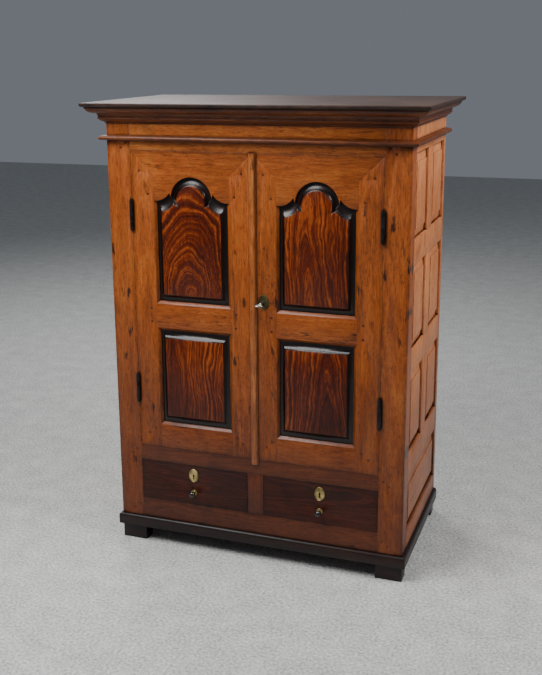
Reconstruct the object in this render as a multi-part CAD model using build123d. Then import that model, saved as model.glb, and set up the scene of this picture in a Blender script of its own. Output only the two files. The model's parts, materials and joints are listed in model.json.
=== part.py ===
from build123d import *
import math
import os

# Antique two-door cupboard with two drawers. Millimetres, +Z up, front faces -Y, +X to the right of
# someone who stands in front. The origin is under the middle of the whole box, on the floor.
# Everything is drawn with y = 0 on the front faces of the posts, and moved back at the end.

os.makedirs("parts", exist_ok=True)

# ---- Driving dimensions ----
HEIGHT = 1300.0
BODY_WIDTH = 856.0
BODY_DEPTH = 477.0

TOP_THICKNESS = 11.0
SIDE_OVERHANG = 53.0
FRONT_OVERHANG = 54.5
BACK_OVERHANG = 12.0
TOP_UNDER_ROUND = 6.0
TOP_UPPER_ROUND = 2.5

CORNICE_HEIGHT = 44.5
CORNICE_PROJECTION = 44.0
WAIST_DROP = 78.0
WAIST_HEIGHT = 14.5
WAIST_PROJECTION = 17.7
BASE_HEIGHT = 33.5
BASE_PROJECTION = 9.5

FOOT_HEIGHT = 45.0
FOOT_WIDTH = 76.0
FOOT_DEPTH = 43.0

POST_WIDTH = 70.0
FRONT_POST_DEPTH = 50.0
BACK_POST_DEPTH = 24.0
RAIL_THICKNESS = 28.0
MIDDLE_RAIL_DEPTH = 60.0
TOP_RAIL_HEIGHT = 117.6
MIDDLE_RAIL_HEIGHT = 45.6
BOTTOM_RAIL_TOP = 138.0
DRAWER_HEIGHT = 123.4
MUNTIN_WIDTH = 49.0
TENON_THICKNESS = 8.0
TENON_LENGTH = 38.0
TENON_SETBACK = 10.0
TENON_SHOULDER = 8.0
SIDE_TENON_SHOULDER = 12.0

DOOR_THICKNESS = 27.0
DOOR_GAP = 0.6
HINGE_GAP = 0.8
MEETING_GAP = 0.5
MEETING_BEVEL = 2.2
STILE_FACE = 66.0
DOOR_RAIL_FACE = 70.0
EDGE_MOULD = 7.5
LOWER_OPENING_HEIGHT = 293.0
ARCH_SHOULDER_DROP = 137.0
ARCH_RISE = 67.5
ARCH_RADIUS = 61.0
CUSP_NOTCH = 10.0
FIELD_SIDE_BORDER = 25.5
FIELD_END_BORDER = 31.0
FIELD_ARCH_RADIUS = 41.5
PANEL_RECESS = 9.5
PANEL_PROUD = 3.0
PANEL_THICKNESS = 8.0
PANEL_TONGUE = 6.0
PANEL_PLAY = 0.5

SIDE_FRAME_THICKNESS = 26.0
SIDE_MUNTIN_WIDTH = 64.0
SIDE_RAIL_TOPS = (131.0, 359.0, 652.0, 952.0)
SIDE_RAIL_WIDTHS = (86.0, 75.0, 69.0, 69.0)
SIDE_TOP_RAIL_HEIGHT = 112.0
SIDE_BORDER = 26.0
SIDE_FIELD_RECESS = 1.3
SIDE_TENON = 10.0

BOARD_THICKNESS = 12.0
BACK_BOARD_COUNT = 6
BACK_BOARD_GAP = 0.6
BACK_BOARD_RECESS = 6.0
BACK_RAIL_THICKNESS = 15.0
SHELF_THICKNESS = 20.0
SHELF_TOPS = (590.0, 880.0)
SHELF_SIDE_PLAY = 0.5
SHELF_SETBACK = 52.0
CLEAT_SIZE = 20.0

STRIP_LEFT = 10.0
STRIP_RIGHT = 11.4
STRIP_PROJECTION = 9.0
STRIP_TAIL = 14.0
STRIP_PLAY = 0.4

HINGE_LENGTH = 84.0
HINGE_HEIGHTS = (484.0, 991.0)
BARREL_RADIUS = 5.0
PIN_RADIUS = 2.2
PIN_PLAY = 0.05
LEAF_THICKNESS = 1.6
LEAF_DEPTH = 24.0
KNUCKLE_SHARE = 0.29
KNUCKLE_GAP = 0.5
TIP_HEIGHT = 4.0

PEG_RADIUS = 3.6
PEG_PROUD = 0.3
PEG_LENGTH = 21.0
PEG_INNER = 17.0
PEG_OUTER = 42.0
FRAME_PEG_INSETS = (13.0, 29.0)
FRAME_PEG_RISE = 7.0

DRAWER_GAP = 0.7
DRAWER_FRONT_THICKNESS = 22.0
DRAWER_SIDE_THICKNESS = 11.0
DRAWER_BOTTOM_THICKNESS = 7.0
DRAWER_BOTTOM_RISE = 9.0
DRAWER_LENGTH = 424.0
DRAWER_RUN_GAP = 0.4
DRAWER_SIDE_DROP = 16.0
RUNNER_THICKNESS = 14.0

ESCUTCHEON_WIDTH = 30.0
ESCUTCHEON_HEIGHT = 41.0
ESCUTCHEON_THICKNESS = 2.4
ESCUTCHEON_RIM = 3.0
DRAWER_LOCK_HEIGHT = 91.0
KNOB_HEIGHT = 38.0
KNOB_LENGTH = 25.5
KNOB_RADIUS = 9.5
DRAWER_BOLT_THROW = 8.0

LOCK_X = 30.0
LOCK_Z = 768.0
LOCK_CASE_WIDTH = 62.0
LOCK_CASE_HEIGHT = 62.0
LOCK_CASE_DEPTH = 18.0
LOCK_CASE_SETBACK = 6.0
LOCK_BOLT_HEIGHT = 12.0
LOCK_BOLT_LENGTH = 50.0
LOCK_BOLT_THROW = 16.0
KEEP_SETBACK = 2.5
KEEP_LENGTH = 28.0
KEEP_PLAY = 2.0
POCKET_END_PLAY = 6.0
KEY_SHAFT_RADIUS = 2.9
KEYHOLE_PLAY = 0.6
KEYHOLE_SLOT = (3.4, 12.0)
KEY_BIT_RADIUS = 10.5
KEY_PROTRUSION = 52.0
KEY_BOW_WIDTH = 26.0
KEY_BOW_LENGTH = 21.0
KEY_THICKNESS = 3.6

FOOT_BOLT_X = 36.0
FOOT_BOLT_RADIUS = 4.0
FOOT_BOLT_LENGTH = 88.0
FOOT_BOLT_THROW = 12.0
FOOT_BOLT_PLAY = 2.4

# ---- Sizes that follow ----
HALF = BODY_WIDTH / 2
INNER = HALF - POST_WIDTH
SIDE_INNER = HALF - SIDE_FRAME_THICKNESS
TOP_UNDERSIDE = HEIGHT - TOP_THICKNESS
FRONT = -(BODY_DEPTH + BACK_OVERHANG - FRONT_OVERHANG) / 2
DRAWER_TOP = BOTTOM_RAIL_TOP + DRAWER_HEIGHT
DOOR_BAY_BOTTOM = DRAWER_TOP + MIDDLE_RAIL_HEIGHT
DOOR_BAY_TOP = TOP_UNDERSIDE - TOP_RAIL_HEIGHT
DOOR_BOTTOM = DOOR_BAY_BOTTOM + DOOR_GAP
DOOR_TOP = DOOR_BAY_TOP - DOOR_GAP
DOOR_OUTER = INNER - HINGE_GAP
HINGE_X = INNER - HINGE_GAP / 2
HINGE_Y = -(BARREL_RADIUS + 0.3)
WAIST_TOP = TOP_UNDERSIDE - WAIST_DROP
BACK_INSIDE = BODY_DEPTH - BACK_POST_DEPTH

# The door's openings, seen from the front: face edges, then the clear edges behind the edge mould.
FACE_LEFT = MEETING_GAP + STILE_FACE
FACE_RIGHT = DOOR_OUTER - STILE_FACE
CLEAR_LEFT = FACE_LEFT + EDGE_MOULD
CLEAR_RIGHT = FACE_RIGHT - EDGE_MOULD
OPENING_CENTRE = (FACE_LEFT + FACE_RIGHT) / 2
LOWER_BOTTOM = DOOR_BOTTOM + DOOR_RAIL_FACE
LOWER_TOP = LOWER_BOTTOM + LOWER_OPENING_HEIGHT
UPPER_BOTTOM = LOWER_TOP + DOOR_RAIL_FACE
SHOULDER = DOOR_TOP - ARCH_SHOULDER_DROP
CROWN = SHOULDER + ARCH_RISE
PANEL_BACK = PANEL_RECESS + PANEL_THICKNESS


# ---- Helpers ----
def block(x0, x1, y0, y1, z0, z1):
    """A box between two corners."""
    return Pos((x0 + x1) / 2, (y0 + y1) / 2, (z0 + z1) / 2) * Box(x1 - x0, y1 - y0, z1 - z0)


def across(x, z, y0, y1, radius):
    """A cylinder along Y."""
    return Pos(x, (y0 + y1) / 2, z) * Rot(90, 0, 0) * Cylinder(radius, y1 - y0)


def upright(x, y, z0, z1, radius):
    """A cylinder along Z."""
    return Pos(x, y, (z0 + z1) / 2) * Cylinder(radius, z1 - z0)


def face_at(y, edges):
    """A face in the XZ plane at depth y from edges drawn at y = 0."""
    return Pos(0, y, 0) * make_face(edges)


def corners_to_edges(points):
    """The closed outline through (x, z) points."""
    loop = [Vector(x, 0, z) for x, z in points]
    return [Line(loop[i - 1], loop[i]) for i in range(len(loop))]


def prism(points, y0, y1):
    """An outline of (x, z) points, from y0 to y1."""
    return extrude(face_at(y0, corners_to_edges(points)), amount=y1 - y0, dir=(0, 1, 0))


def bevelled(outer, inner, y_outer, y_inner):
    """The solid between two outlines with as many edges as each other."""
    return loft([face_at(y_outer, outer), face_at(y_inner, inner)], ruled=True)


def rectangle(x0, x1, z0, z1):
    return [(x0, z0), (x1, z0), (x1, z1), (x0, z1)]


def mirrored(shapes):
    return [mirror(shape, about=Plane.YZ) for shape in shapes]


def to_side(shape):
    """Turns a piece drawn as a front (x along, y inwards) to the right-hand side of the body."""
    return Pos(HALF, 0, 0) * Rot(0, 0, 90) * shape


def save(name, *shapes):
    """Writes one node from its separate solids, moved into the part's own frame."""
    solids = [solid for shape in shapes for solid in shape.solids()]
    moved = [Pos(0, FRONT, 0) * solid for solid in solids]
    node = moved[0] if len(moved) == 1 else Compound(children=moved)
    export_step(node, f"parts/{name}.step")


# ---- Mouldings, mitred round the front and both sides ----
def mitred(profile_edges, projection, back):
    """Front, right and left lengths of a moulding whose profile is drawn in (projection, z)."""
    profile = make_face(profile_edges)
    reach = HALF + projection
    front = extrude(Pos(-reach, 0, 0) * profile, amount=2 * reach, dir=(1, 0, 0))
    plan = [(-reach, -projection), (reach, -projection), (HALF, 0), (-HALF, 0)]
    front = front & plan_prism(plan)
    turned = Pos(HALF, -projection, 0) * Rot(0, 0, 90) * profile
    side = extrude(turned, amount=back + projection, dir=(0, 1, 0))
    plan = [(HALF, 0), (reach, -projection), (reach, back), (HALF, back)]
    side = side & plan_prism(plan)
    return [front, side, mirror(side, about=Plane.YZ)]


def plan_prism(points):
    loop = [Vector(x, y, 0) for x, y in points]
    edges = [Line(loop[i - 1], loop[i]) for i in range(len(loop))]
    return extrude(make_face(edges), amount=HEIGHT, dir=(0, 0, 1))


def at(projection, z):
    return Vector(0, -projection, z)


def chain(*steps):
    """Edges through points: a bare point is a straight run, a pair is an arc through the first."""
    edges = []
    here = steps[0]
    for step in steps[1:]:
        if isinstance(step, tuple):
            edges.append(ThreePointArc(here, step[0], step[1]))
            here = step[1]
        else:
            edges.append(Line(here, step))
            here = step
    edges.append(Line(here, steps[0]))
    return edges


top = TOP_UNDERSIDE
cornice_bottom = top - CORNICE_HEIGHT
cornice_profile = chain(
    at(0, top), at(CORNICE_PROJECTION, top), at(CORNICE_PROJECTION, top - 4), at(42.5, top - 4),
    (at(36.8, top - 12.5), at(22, top - 17.5)), at(20, top - 17.5),
    (at(16.7, top - 24), at(16, top - 30.5)), at(17.5, top - 30.5), at(17.5, top - 33),
    at(15.5, top - 33), (at(11, top - 38), at(3, top - 41.5)), at(3, cornice_bottom),
    at(0, cornice_bottom))
save("cornice", *mitred(cornice_profile, CORNICE_PROJECTION, BODY_DEPTH))

waist_bottom = WAIST_TOP - WAIST_HEIGHT
nose = WAIST_PROJECTION
waist_profile = chain(
    at(0, waist_bottom), at(nose - 6, waist_bottom + 1.5),
    (at(nose, waist_bottom + 8), at(nose - 5, WAIST_TOP - 1)), at(0, WAIST_TOP))
save("waist_moulding", *mitred(waist_profile, nose, BODY_DEPTH))

base_top = FOOT_HEIGHT + BASE_HEIGHT
base_profile = chain(
    at(0, FOOT_HEIGHT), at(BASE_PROJECTION, FOOT_HEIGHT), at(BASE_PROJECTION, base_top - 8.5),
    (at(BASE_PROJECTION - 2, base_top - 3), at(1.5, base_top - 0.5)), at(0, base_top))
save("base_moulding", *mitred(base_profile, BASE_PROJECTION, BODY_DEPTH))

top_board = block(-HALF - SIDE_OVERHANG, HALF + SIDE_OVERHANG, -FRONT_OVERHANG,
                  BODY_DEPTH + BACK_OVERHANG, TOP_UNDERSIDE, HEIGHT)
shown = [edge for edge in top_board.edges()
         if abs(edge.tangent_at(0.5).Z) < 0.5 and edge.center().Y < BODY_DEPTH]
top_board = fillet([e for e in shown if e.center().Z < top + 1], TOP_UNDER_ROUND)
shown = [edge for edge in top_board.edges()
         if edge.center().Z > HEIGHT - 0.1 and edge.center().Y < BODY_DEPTH]
top_board = fillet(shown, TOP_UPPER_ROUND)
save("top_board", top_board)


# ---- Side frames and their raised panels ----
def raised_panel(x0, x1, z0, z1, side_border, end_border, recess, field_y):
    """A raised and fielded panel for a rectangular opening: tongue, slab and bevelled field."""
    grow = PANEL_TONGUE - PANEL_PLAY
    slab = block(x0 - grow, x1 + grow, recess + 0.1, recess + PANEL_THICKNESS - 0.1,
                 z0 - grow, z1 + grow)
    shy = PANEL_PLAY
    base = corners_to_edges(rectangle(x0 + shy, x1 - shy, z0 + shy, z1 - shy))
    field = corners_to_edges(rectangle(x0 + side_border, x1 - side_border,
                                       z0 + end_border, z1 - end_border))
    return slab + bevelled(base, field, recess + 0.1, field_y)


def groove(x0, x1, z0, z1, recess):
    """The groove round an opening that takes a panel's tongue."""
    return block(x0 - PANEL_TONGUE, x1 + PANEL_TONGUE, recess, recess + PANEL_THICKNESS,
                 z0 - PANEL_TONGUE, z1 + PANEL_TONGUE)


rail_spans = [(t - w, t) for t, w in zip(SIDE_RAIL_TOPS, SIDE_RAIL_WIDTHS)]
rail_spans.append((TOP_UNDERSIDE - SIDE_TOP_RAIL_HEIGHT, TOP_UNDERSIDE))
muntin_left = (FRONT_POST_DEPTH + BACK_INSIDE - SIDE_MUNTIN_WIDTH) / 2
muntin_right = muntin_left + SIDE_MUNTIN_WIDTH
side_openings = [(FRONT_POST_DEPTH, BACK_INSIDE, rail_spans[0][1], rail_spans[1][0])]
for low, high in zip(rail_spans[1:-1], rail_spans[2:]):
    side_openings.append((FRONT_POST_DEPTH, muntin_left, low[1], high[0]))
    side_openings.append((muntin_right, BACK_INSIDE, low[1], high[0]))
side_grooves = [groove(*opening, PANEL_RECESS) for opening in side_openings]
side_panels = [raised_panel(*opening, SIDE_BORDER, SIDE_BORDER, PANEL_RECESS, SIDE_FIELD_RECESS)
               for opening in side_openings]


def cut(shape, tools):
    for tool in tools:
        shape = shape - tool
    return shape


side_rails = []
side_tenons = []
for z0, z1 in rail_spans:
    rail = block(FRONT_POST_DEPTH, BACK_INSIDE, 0, SIDE_FRAME_THICKNESS, z0, z1)
    tenon = block(FRONT_POST_DEPTH - SIDE_TENON, BACK_INSIDE + SIDE_TENON, PANEL_RECESS,
                  PANEL_RECESS + TENON_THICKNESS, z0 + SIDE_TENON_SHOULDER,
                  z1 - SIDE_TENON_SHOULDER)
    side_rails.append(cut(rail, side_grooves) + tenon)
    side_tenons.append(tenon)
side_muntins = []
for low, high in zip(rail_spans[1:-1], rail_spans[2:]):
    side_muntins.append(cut(block(muntin_left, muntin_right, 0, SIDE_FRAME_THICKNESS,
                                  low[1], high[0]), side_grooves))
side_frame = [to_side(piece) for piece in side_rails + side_muntins]
save("side_frame_right", *side_frame)
save("side_frame_left", *mirrored(side_frame))
turned_panels = [to_side(panel) for panel in side_panels]
save("side_panels_right", *turned_panels)
save("side_panels_left", *mirrored(turned_panels))

# ---- Front rails, muntin and posts ----
tenon_y = (TENON_SETBACK, TENON_SETBACK + TENON_THICKNESS)


def front_rail(z0, z1, depth):
    """A rail between the posts, and the bar that makes its two tenons."""
    bar = block(-INNER - TENON_LENGTH, INNER + TENON_LENGTH, *tenon_y,
                z0 + TENON_SHOULDER, z1 - TENON_SHOULDER)
    return block(-INNER, INNER, 0, depth, z0, z1) + bar, bar


top_rail, top_bar = front_rail(DOOR_BAY_TOP, TOP_UNDERSIDE, RAIL_THICKNESS)
middle_rail, middle_bar = front_rail(DRAWER_TOP, DOOR_BAY_BOTTOM, MIDDLE_RAIL_DEPTH)
bottom_rail, bottom_bar = front_rail(FOOT_HEIGHT, BOTTOM_RAIL_TOP, RAIL_THICKNESS)

# Pegs through the front rails' tenons.
peg_columns = [INNER + inset for inset in FRAME_PEG_INSETS]
frame_pegs = []
for z0, z1 in ((DOOR_BAY_TOP, WAIST_TOP - WAIST_HEIGHT), (DRAWER_TOP, DOOR_BAY_BOTTOM),
               (base_top, BOTTOM_RAIL_TOP)):
    for side in (-1, 1):
        frame_pegs.append(across(side * peg_columns[0], (z0 + z1) / 2 + FRAME_PEG_RISE,
                                 -PEG_PROUD,
                                 PEG_LENGTH, PEG_RADIUS))
        frame_pegs.append(across(side * peg_columns[1], (z0 + z1) / 2 - FRAME_PEG_RISE,
                                 -PEG_PROUD,
                                 PEG_LENGTH, PEG_RADIUS))
save("frame_pegs", *frame_pegs)

drawer_left = MUNTIN_WIDTH / 2 + DRAWER_GAP
drawer_right = INNER - DRAWER_GAP
drawer_centre = (drawer_left + drawer_right) / 2
lock_z = BOTTOM_RAIL_TOP + DRAWER_LOCK_HEIGHT
bolt_y = (DRAWER_FRONT_THICKNESS + 4, DRAWER_FRONT_THICKNESS + 8.5)
bolt_half = 9.0
for side in (-1, 1):
    centre = side * drawer_centre
    middle_rail -= block(centre - bolt_half - 1, centre + bolt_half + 1, bolt_y[0] - 1,
                         bolt_y[1] + 1, DRAWER_TOP - 1, DRAWER_TOP + DRAWER_BOLT_THROW)
foot_bolt_y = DOOR_THICKNESS + 8
middle_rail -= upright(-FOOT_BOLT_X, foot_bolt_y, DOOR_BAY_BOTTOM - FOOT_BOLT_THROW - 2,
                       DOOR_BAY_BOTTOM + 1, FOOT_BOLT_RADIUS + FOOT_BOLT_PLAY)
save("top_rail", cut(top_rail, frame_pegs))
save("middle_rail", cut(middle_rail, frame_pegs))
save("bottom_rail", cut(bottom_rail, frame_pegs))
save("drawer_muntin", block(-MUNTIN_WIDTH / 2, MUNTIN_WIDTH / 2, 0, RAIL_THICKNESS,
                            BOTTOM_RAIL_TOP, DRAWER_TOP))


# ---- Hinges: right-hand set drawn first ----
def screw(x, y, z, direction):
    """A countersunk wood screw that runs along X from the leaf's face."""
    head = Cone(3.4, 1.7, LEAF_THICKNESS, align=(Align.CENTER, Align.CENTER, Align.MIN))
    shank = Pos(0, 0, LEAF_THICKNESS) * Cylinder(1.7, 14, align=(Align.CENTER, Align.CENTER, Align.MIN))
    return Pos(x, y, z) * Rot(0, 90 * direction, 0) * (head + shank)


frame_leaves, door_leaves, hinge_pins = [], [], []
frame_screws, door_screws = [], []
frame_pockets, door_pockets = [], []
for middle in HINGE_HEIGHTS:
    low, high = middle - HINGE_LENGTH / 2, middle + HINGE_LENGTH / 2
    outer_knuckle = KNUCKLE_SHARE * HINGE_LENGTH
    outer_spans = ((low, low + outer_knuckle), (high - outer_knuckle, high))
    inner_span = (low + outer_knuckle + KNUCKLE_GAP, high - outer_knuckle - KNUCKLE_GAP)
    plate = block(INNER, INNER + LEAF_THICKNESS, 0, LEAF_DEPTH, low, high)
    frame_pockets.append(plate)
    leaf = plate
    for z0, z1 in outer_spans:
        leaf += upright(HINGE_X, HINGE_Y, z0, z1, BARREL_RADIUS)
        leaf += block(INNER, INNER + LEAF_THICKNESS, HINGE_Y, 0, z0, z1)
    plate = block(DOOR_OUTER - LEAF_THICKNESS, DOOR_OUTER, 0, LEAF_DEPTH, low, high)
    door_pockets.append(plate)
    door_leaf = plate + upright(HINGE_X, HINGE_Y, *inner_span, BARREL_RADIUS)
    door_leaf += block(DOOR_OUTER - LEAF_THICKNESS, DOOR_OUTER, HINGE_Y, 0, *inner_span)
    bore = upright(HINGE_X, HINGE_Y, low - 1, high + 1, PIN_RADIUS + PIN_PLAY)
    pin = upright(HINGE_X, HINGE_Y, low - 1, high + 0.2, PIN_RADIUS)
    pin += upright(HINGE_X, HINGE_Y, high + 0.2, high + TIP_HEIGHT, BARREL_RADIUS * 0.62)
    hinge_pins.append(pin)
    leaf_screws = [screw(INNER, 14, middle + step, 1) for step in (-30, 0, 30)]
    leaf_screws_door = [screw(DOOR_OUTER, 14, middle + step, -1) for step in (-30, 0, 30)]
    frame_leaves.append(cut(leaf - bore, leaf_screws))
    door_leaves.append(cut(door_leaf - bore, leaf_screws_door))
    frame_screws += leaf_screws
    door_screws += leaf_screws_door

right_frame = frame_leaves + frame_screws
save("hinge_frame_leaves", *right_frame, *mirrored(right_frame))
save("hinge_pins", *hinge_pins, *mirrored(hinge_pins))
save("right_door_hinge_leaves", *door_leaves, *door_screws)
save("left_door_hinge_leaves", *mirrored(door_leaves + door_screws))

# ---- Posts ----
front_post = block(INNER, HALF, 0, FRONT_POST_DEPTH, FOOT_HEIGHT, TOP_UNDERSIDE)
mortises = [to_side(tenon) for tenon in side_tenons] + [to_side(slot) for slot in side_grooves]
front_post = cut(front_post, mortises + [top_bar, middle_bar, bottom_bar])
front_post = cut(front_post, [middle_rail] + frame_pegs + frame_pockets + frame_screws)
back_post = block(INNER, HALF, BACK_INSIDE, BODY_DEPTH, FOOT_HEIGHT, TOP_UNDERSIDE)
back_post = cut(back_post, mortises)
save("post_front_right", front_post)
save("post_front_left", *mirrored([front_post]))
save("back_posts", back_post, *mirrored([back_post]))

# ---- Feet ----
feet = []
for y0 in (0, BODY_DEPTH - FOOT_DEPTH):
    feet.append(block(HALF - FOOT_WIDTH, HALF, y0, y0 + FOOT_DEPTH, 0, FOOT_HEIGHT))
save("feet", *feet, *mirrored(feet))

# ---- Back, floor and shelves ----
back_y = BODY_DEPTH - BACK_BOARD_RECESS - BOARD_THICKNESS
board_width = (2 * INNER - (BACK_BOARD_COUNT - 1) * BACK_BOARD_GAP) / BACK_BOARD_COUNT
back_boards = []
for index in range(BACK_BOARD_COUNT):
    x0 = -INNER + index * (board_width + BACK_BOARD_GAP)
    back_boards.append(block(x0, x0 + board_width, back_y, back_y + BOARD_THICKNESS,
                             FOOT_HEIGHT + 8, TOP_UNDERSIDE))
save("back_boards", *back_boards)
back_rail_y = back_y - BACK_RAIL_THICKNESS
back_rails = []
for z0, z1 in ((FOOT_HEIGHT + 8, BOTTOM_RAIL_TOP - RUNNER_THICKNESS - 2),
               (DOOR_BAY_BOTTOM - 62, DOOR_BAY_BOTTOM - 22),
               (TOP_UNDERSIDE - 70, TOP_UNDERSIDE)):
    back_rails.append(block(-INNER, INNER, back_rail_y, back_y, z0, z1))
save("back_rails", *back_rails)

shelf_half = SIDE_INNER - SHELF_SIDE_PLAY
shelf_back = back_rail_y - 1


def board_at(z, y0):
    return block(-shelf_half, shelf_half, y0, shelf_back, z - SHELF_THICKNESS, z)


floor_top = DOOR_BAY_BOTTOM - 2
save("cupboard_floor", board_at(floor_top, MIDDLE_RAIL_DEPTH))
save("shelves", *[board_at(z, SHELF_SETBACK) for z in SHELF_TOPS])
cleats = []
for z in (floor_top, *SHELF_TOPS):
    cleat = block(SIDE_INNER - CLEAT_SIZE, SIDE_INNER, MIDDLE_RAIL_DEPTH + 4, shelf_back - 10,
                  z - SHELF_THICKNESS - CLEAT_SIZE, z - SHELF_THICKNESS)
    cleats.append(cleat)
save("shelf_cleats", *cleats, *mirrored(cleats))
save("door_stop", block(-INNER + 8, INNER - 8, RAIL_THICKNESS, RAIL_THICKNESS + 16,
                        DOOR_BAY_TOP - 11, DOOR_BAY_TOP + 24))

# ---- Drawer runners, guides and stops ----
runner_top = BOTTOM_RAIL_TOP
runner_y = (RAIL_THICKNESS, back_rail_y)
side_bearing = (INNER - 26, SIDE_INNER)
centre_half = MUNTIN_WIDTH / 2 + 26
guide_top = runner_top + 34
guide_y = (FRONT_POST_DEPTH + 2, back_rail_y)
runners = [block(*side_bearing, FRONT_POST_DEPTH, runner_y[1], runner_top - RUNNER_THICKNESS,
                 runner_top)]
guides = [block(INNER, SIDE_INNER, *guide_y, runner_top, guide_top)]
stop_x = (drawer_left + 60, drawer_right - 60)
stops = [block(x - 12, x + 12, DRAWER_FRONT_THICKNESS + 0.5, RAIL_THICKNESS, runner_top,
               runner_top + DRAWER_BOTTOM_RISE - 1.5) for x in stop_x]
runner_set = runners + guides + stops
centre_runner = block(-centre_half, centre_half, *runner_y, runner_top - RUNNER_THICKNESS,
                      runner_top)
centre_guide = block(-MUNTIN_WIDTH / 2, MUNTIN_WIDTH / 2, *runner_y, runner_top, guide_top)
save("drawer_runners", *runner_set, *mirrored(runner_set), centre_runner, centre_guide)


# ---- Locks' keyholes and escutcheons ----
def keyhole(x, z, y0, y1, radius, bit_width, bit_length):
    """A round hole with a slot for the bit below it."""
    slot = block(x - bit_width / 2, x + bit_width / 2, y0, y1, z - bit_length, z)
    return across(x, z, y0, y1, radius) + slot


def escutcheon(x, z):
    """An oval plate with a raised rim, standing on the front face, and its keyhole."""
    plane = Plane(origin=(x, 0, z), x_dir=(1, 0, 0), z_dir=(0, -1, 0))
    wide, tall = ESCUTCHEON_WIDTH / 2, ESCUTCHEON_HEIGHT / 2
    plate = extrude(plane * Ellipse(wide, tall), amount=ESCUTCHEON_THICKNESS)
    dish = plane.offset(1.0) * Ellipse(wide - ESCUTCHEON_RIM, tall - ESCUTCHEON_RIM)
    plate -= extrude(dish, amount=ESCUTCHEON_THICKNESS)
    return plate - keyhole(x, z, -ESCUTCHEON_THICKNESS - 1, 1, KEY_SHAFT_RADIUS + KEYHOLE_PLAY,
                           *KEYHOLE_SLOT)


# ---- Drawers: right-hand one drawn, left-hand one mirrored ----
front_low = BOTTOM_RAIL_TOP + DRAWER_GAP
front_high = DRAWER_TOP - DRAWER_GAP
drawer_front = block(drawer_left, drawer_right, 0, DRAWER_FRONT_THICKNESS, front_low, front_high)
drawer_front -= keyhole(drawer_centre, lock_z, -1, DRAWER_FRONT_THICKNESS + 1,
                        KEY_SHAFT_RADIUS + KEYHOLE_PLAY, *KEYHOLE_SLOT)
knob_z = BOTTOM_RAIL_TOP + KNOB_HEIGHT
drawer_front -= across(drawer_centre, knob_z, -1, 12, 3.0)
side_low = BOTTOM_RAIL_TOP + DRAWER_RUN_GAP
side_high = front_high - DRAWER_SIDE_DROP
box_y = (DRAWER_FRONT_THICKNESS, DRAWER_LENGTH)
thick = DRAWER_SIDE_THICKNESS
bottom_z = side_low + DRAWER_BOTTOM_RISE
drawer_box = [
    block(drawer_left, drawer_left + thick, *box_y, side_low, side_high),
    block(drawer_right - thick, drawer_right, *box_y, side_low, side_high),
    block(drawer_left + thick, drawer_right - thick, box_y[1] - thick, box_y[1],
          bottom_z + DRAWER_BOTTOM_THICKNESS, side_high),
    block(drawer_left + thick, drawer_right - thick, *box_y, bottom_z,
          bottom_z + DRAWER_BOTTOM_THICKNESS)]

case_half = 26.0
case_high = front_high - 5
case_low = case_high - 44
bolt_top = case_high
bolt_low = bolt_top - 30
drawer_lock = block(drawer_centre - case_half, drawer_centre + case_half, DRAWER_FRONT_THICKNESS,
                    DRAWER_FRONT_THICKNESS + 12, case_low, case_high)
drawer_lock -= block(drawer_centre - bolt_half - 0.4, drawer_centre + bolt_half + 0.4,
                     bolt_y[0] - 0.4, bolt_y[1] + 0.4, bolt_low - 0.4, case_high + 1)
drawer_lock -= across(drawer_centre, lock_z, DRAWER_FRONT_THICKNESS - 1,
                      DRAWER_FRONT_THICKNESS + 3, KEY_SHAFT_RADIUS + KEYHOLE_PLAY)
drawer_bolt = block(drawer_centre - bolt_half, drawer_centre + bolt_half, *bolt_y, bolt_low,
                    bolt_top)


def knob(x, z):
    """A turned knob on a rosette, with a spigot into the drawer front."""
    neck, rim, ball = 4.2, 9.0, KNOB_RADIUS
    ball_z = ball - KNOB_LENGTH
    shoulder_z = ball_z + 0.6 * ball
    outline = [
        Line((0, 0, 11), (2.9, 0, 11)), Line((2.9, 0, 11), (2.9, 0, 0)),
        Line((2.9, 0, 0), (rim, 0, 0)), Line((rim, 0, 0), (rim, 0, -1.6)),
        ThreePointArc((rim, 0, -1.6), (6.3, 0, -3.2), (neck, 0, -6.0)),
        Line((neck, 0, -6.0), (ball * 0.8, 0, shoulder_z)),
        ThreePointArc((ball * 0.8, 0, shoulder_z), (ball, 0, ball_z), (0, 0, -KNOB_LENGTH)),
        Line((0, 0, -KNOB_LENGTH), (0, 0, 11))]
    turned = revolve(make_face(outline), Axis.Z, 360)
    return Pos(x, 0, z) * Rot(-90, 0, 0) * turned


drawer_nodes = {
    "drawer_front": [drawer_front], "drawer_box": drawer_box, "drawer_lock": [drawer_lock],
    "drawer_bolt": [drawer_bolt], "drawer_escutcheon": [escutcheon(drawer_centre, lock_z)],
    "drawer_knob": [knob(drawer_centre, knob_z)]}
for node, shapes in drawer_nodes.items():
    save(f"right_{node}", *shapes)
    save(f"left_{node}", *mirrored(shapes))


# ---- Doors: right-hand one drawn, left-hand one mirrored ----
def arch_run(radius, centre_z, end_z, tip, inner_tip, shoulder_arc, shoulder):
    """The broken arch, left to right, about the opening's centre line: the two shoulders' hollow
    curves, the cusps and the round arch between them."""
    c = OPENING_CENTRE
    end_x = math.sqrt(radius ** 2 - (end_z - centre_z) ** 2)

    def p(x, z):
        return Vector(c + x, 0, z)

    right = [ThreePointArc(p(*shoulder), p(*shoulder_arc), p(*tip)),
             Line(p(*tip), p(*inner_tip)), Line(p(*inner_tip), p(end_x, end_z))]
    crown = ThreePointArc(p(end_x, end_z), p(0, centre_z + radius), p(-end_x, end_z))
    left = [Line(p(-end_x, end_z), p(-inner_tip[0], inner_tip[1])),
            Line(p(-inner_tip[0], inner_tip[1]), p(-tip[0], tip[1])),
            ThreePointArc(p(-tip[0], tip[1]), p(-shoulder_arc[0], shoulder_arc[1]),
                          p(-shoulder[0], shoulder[1]))]
    return [*right, crown, *left]


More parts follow.
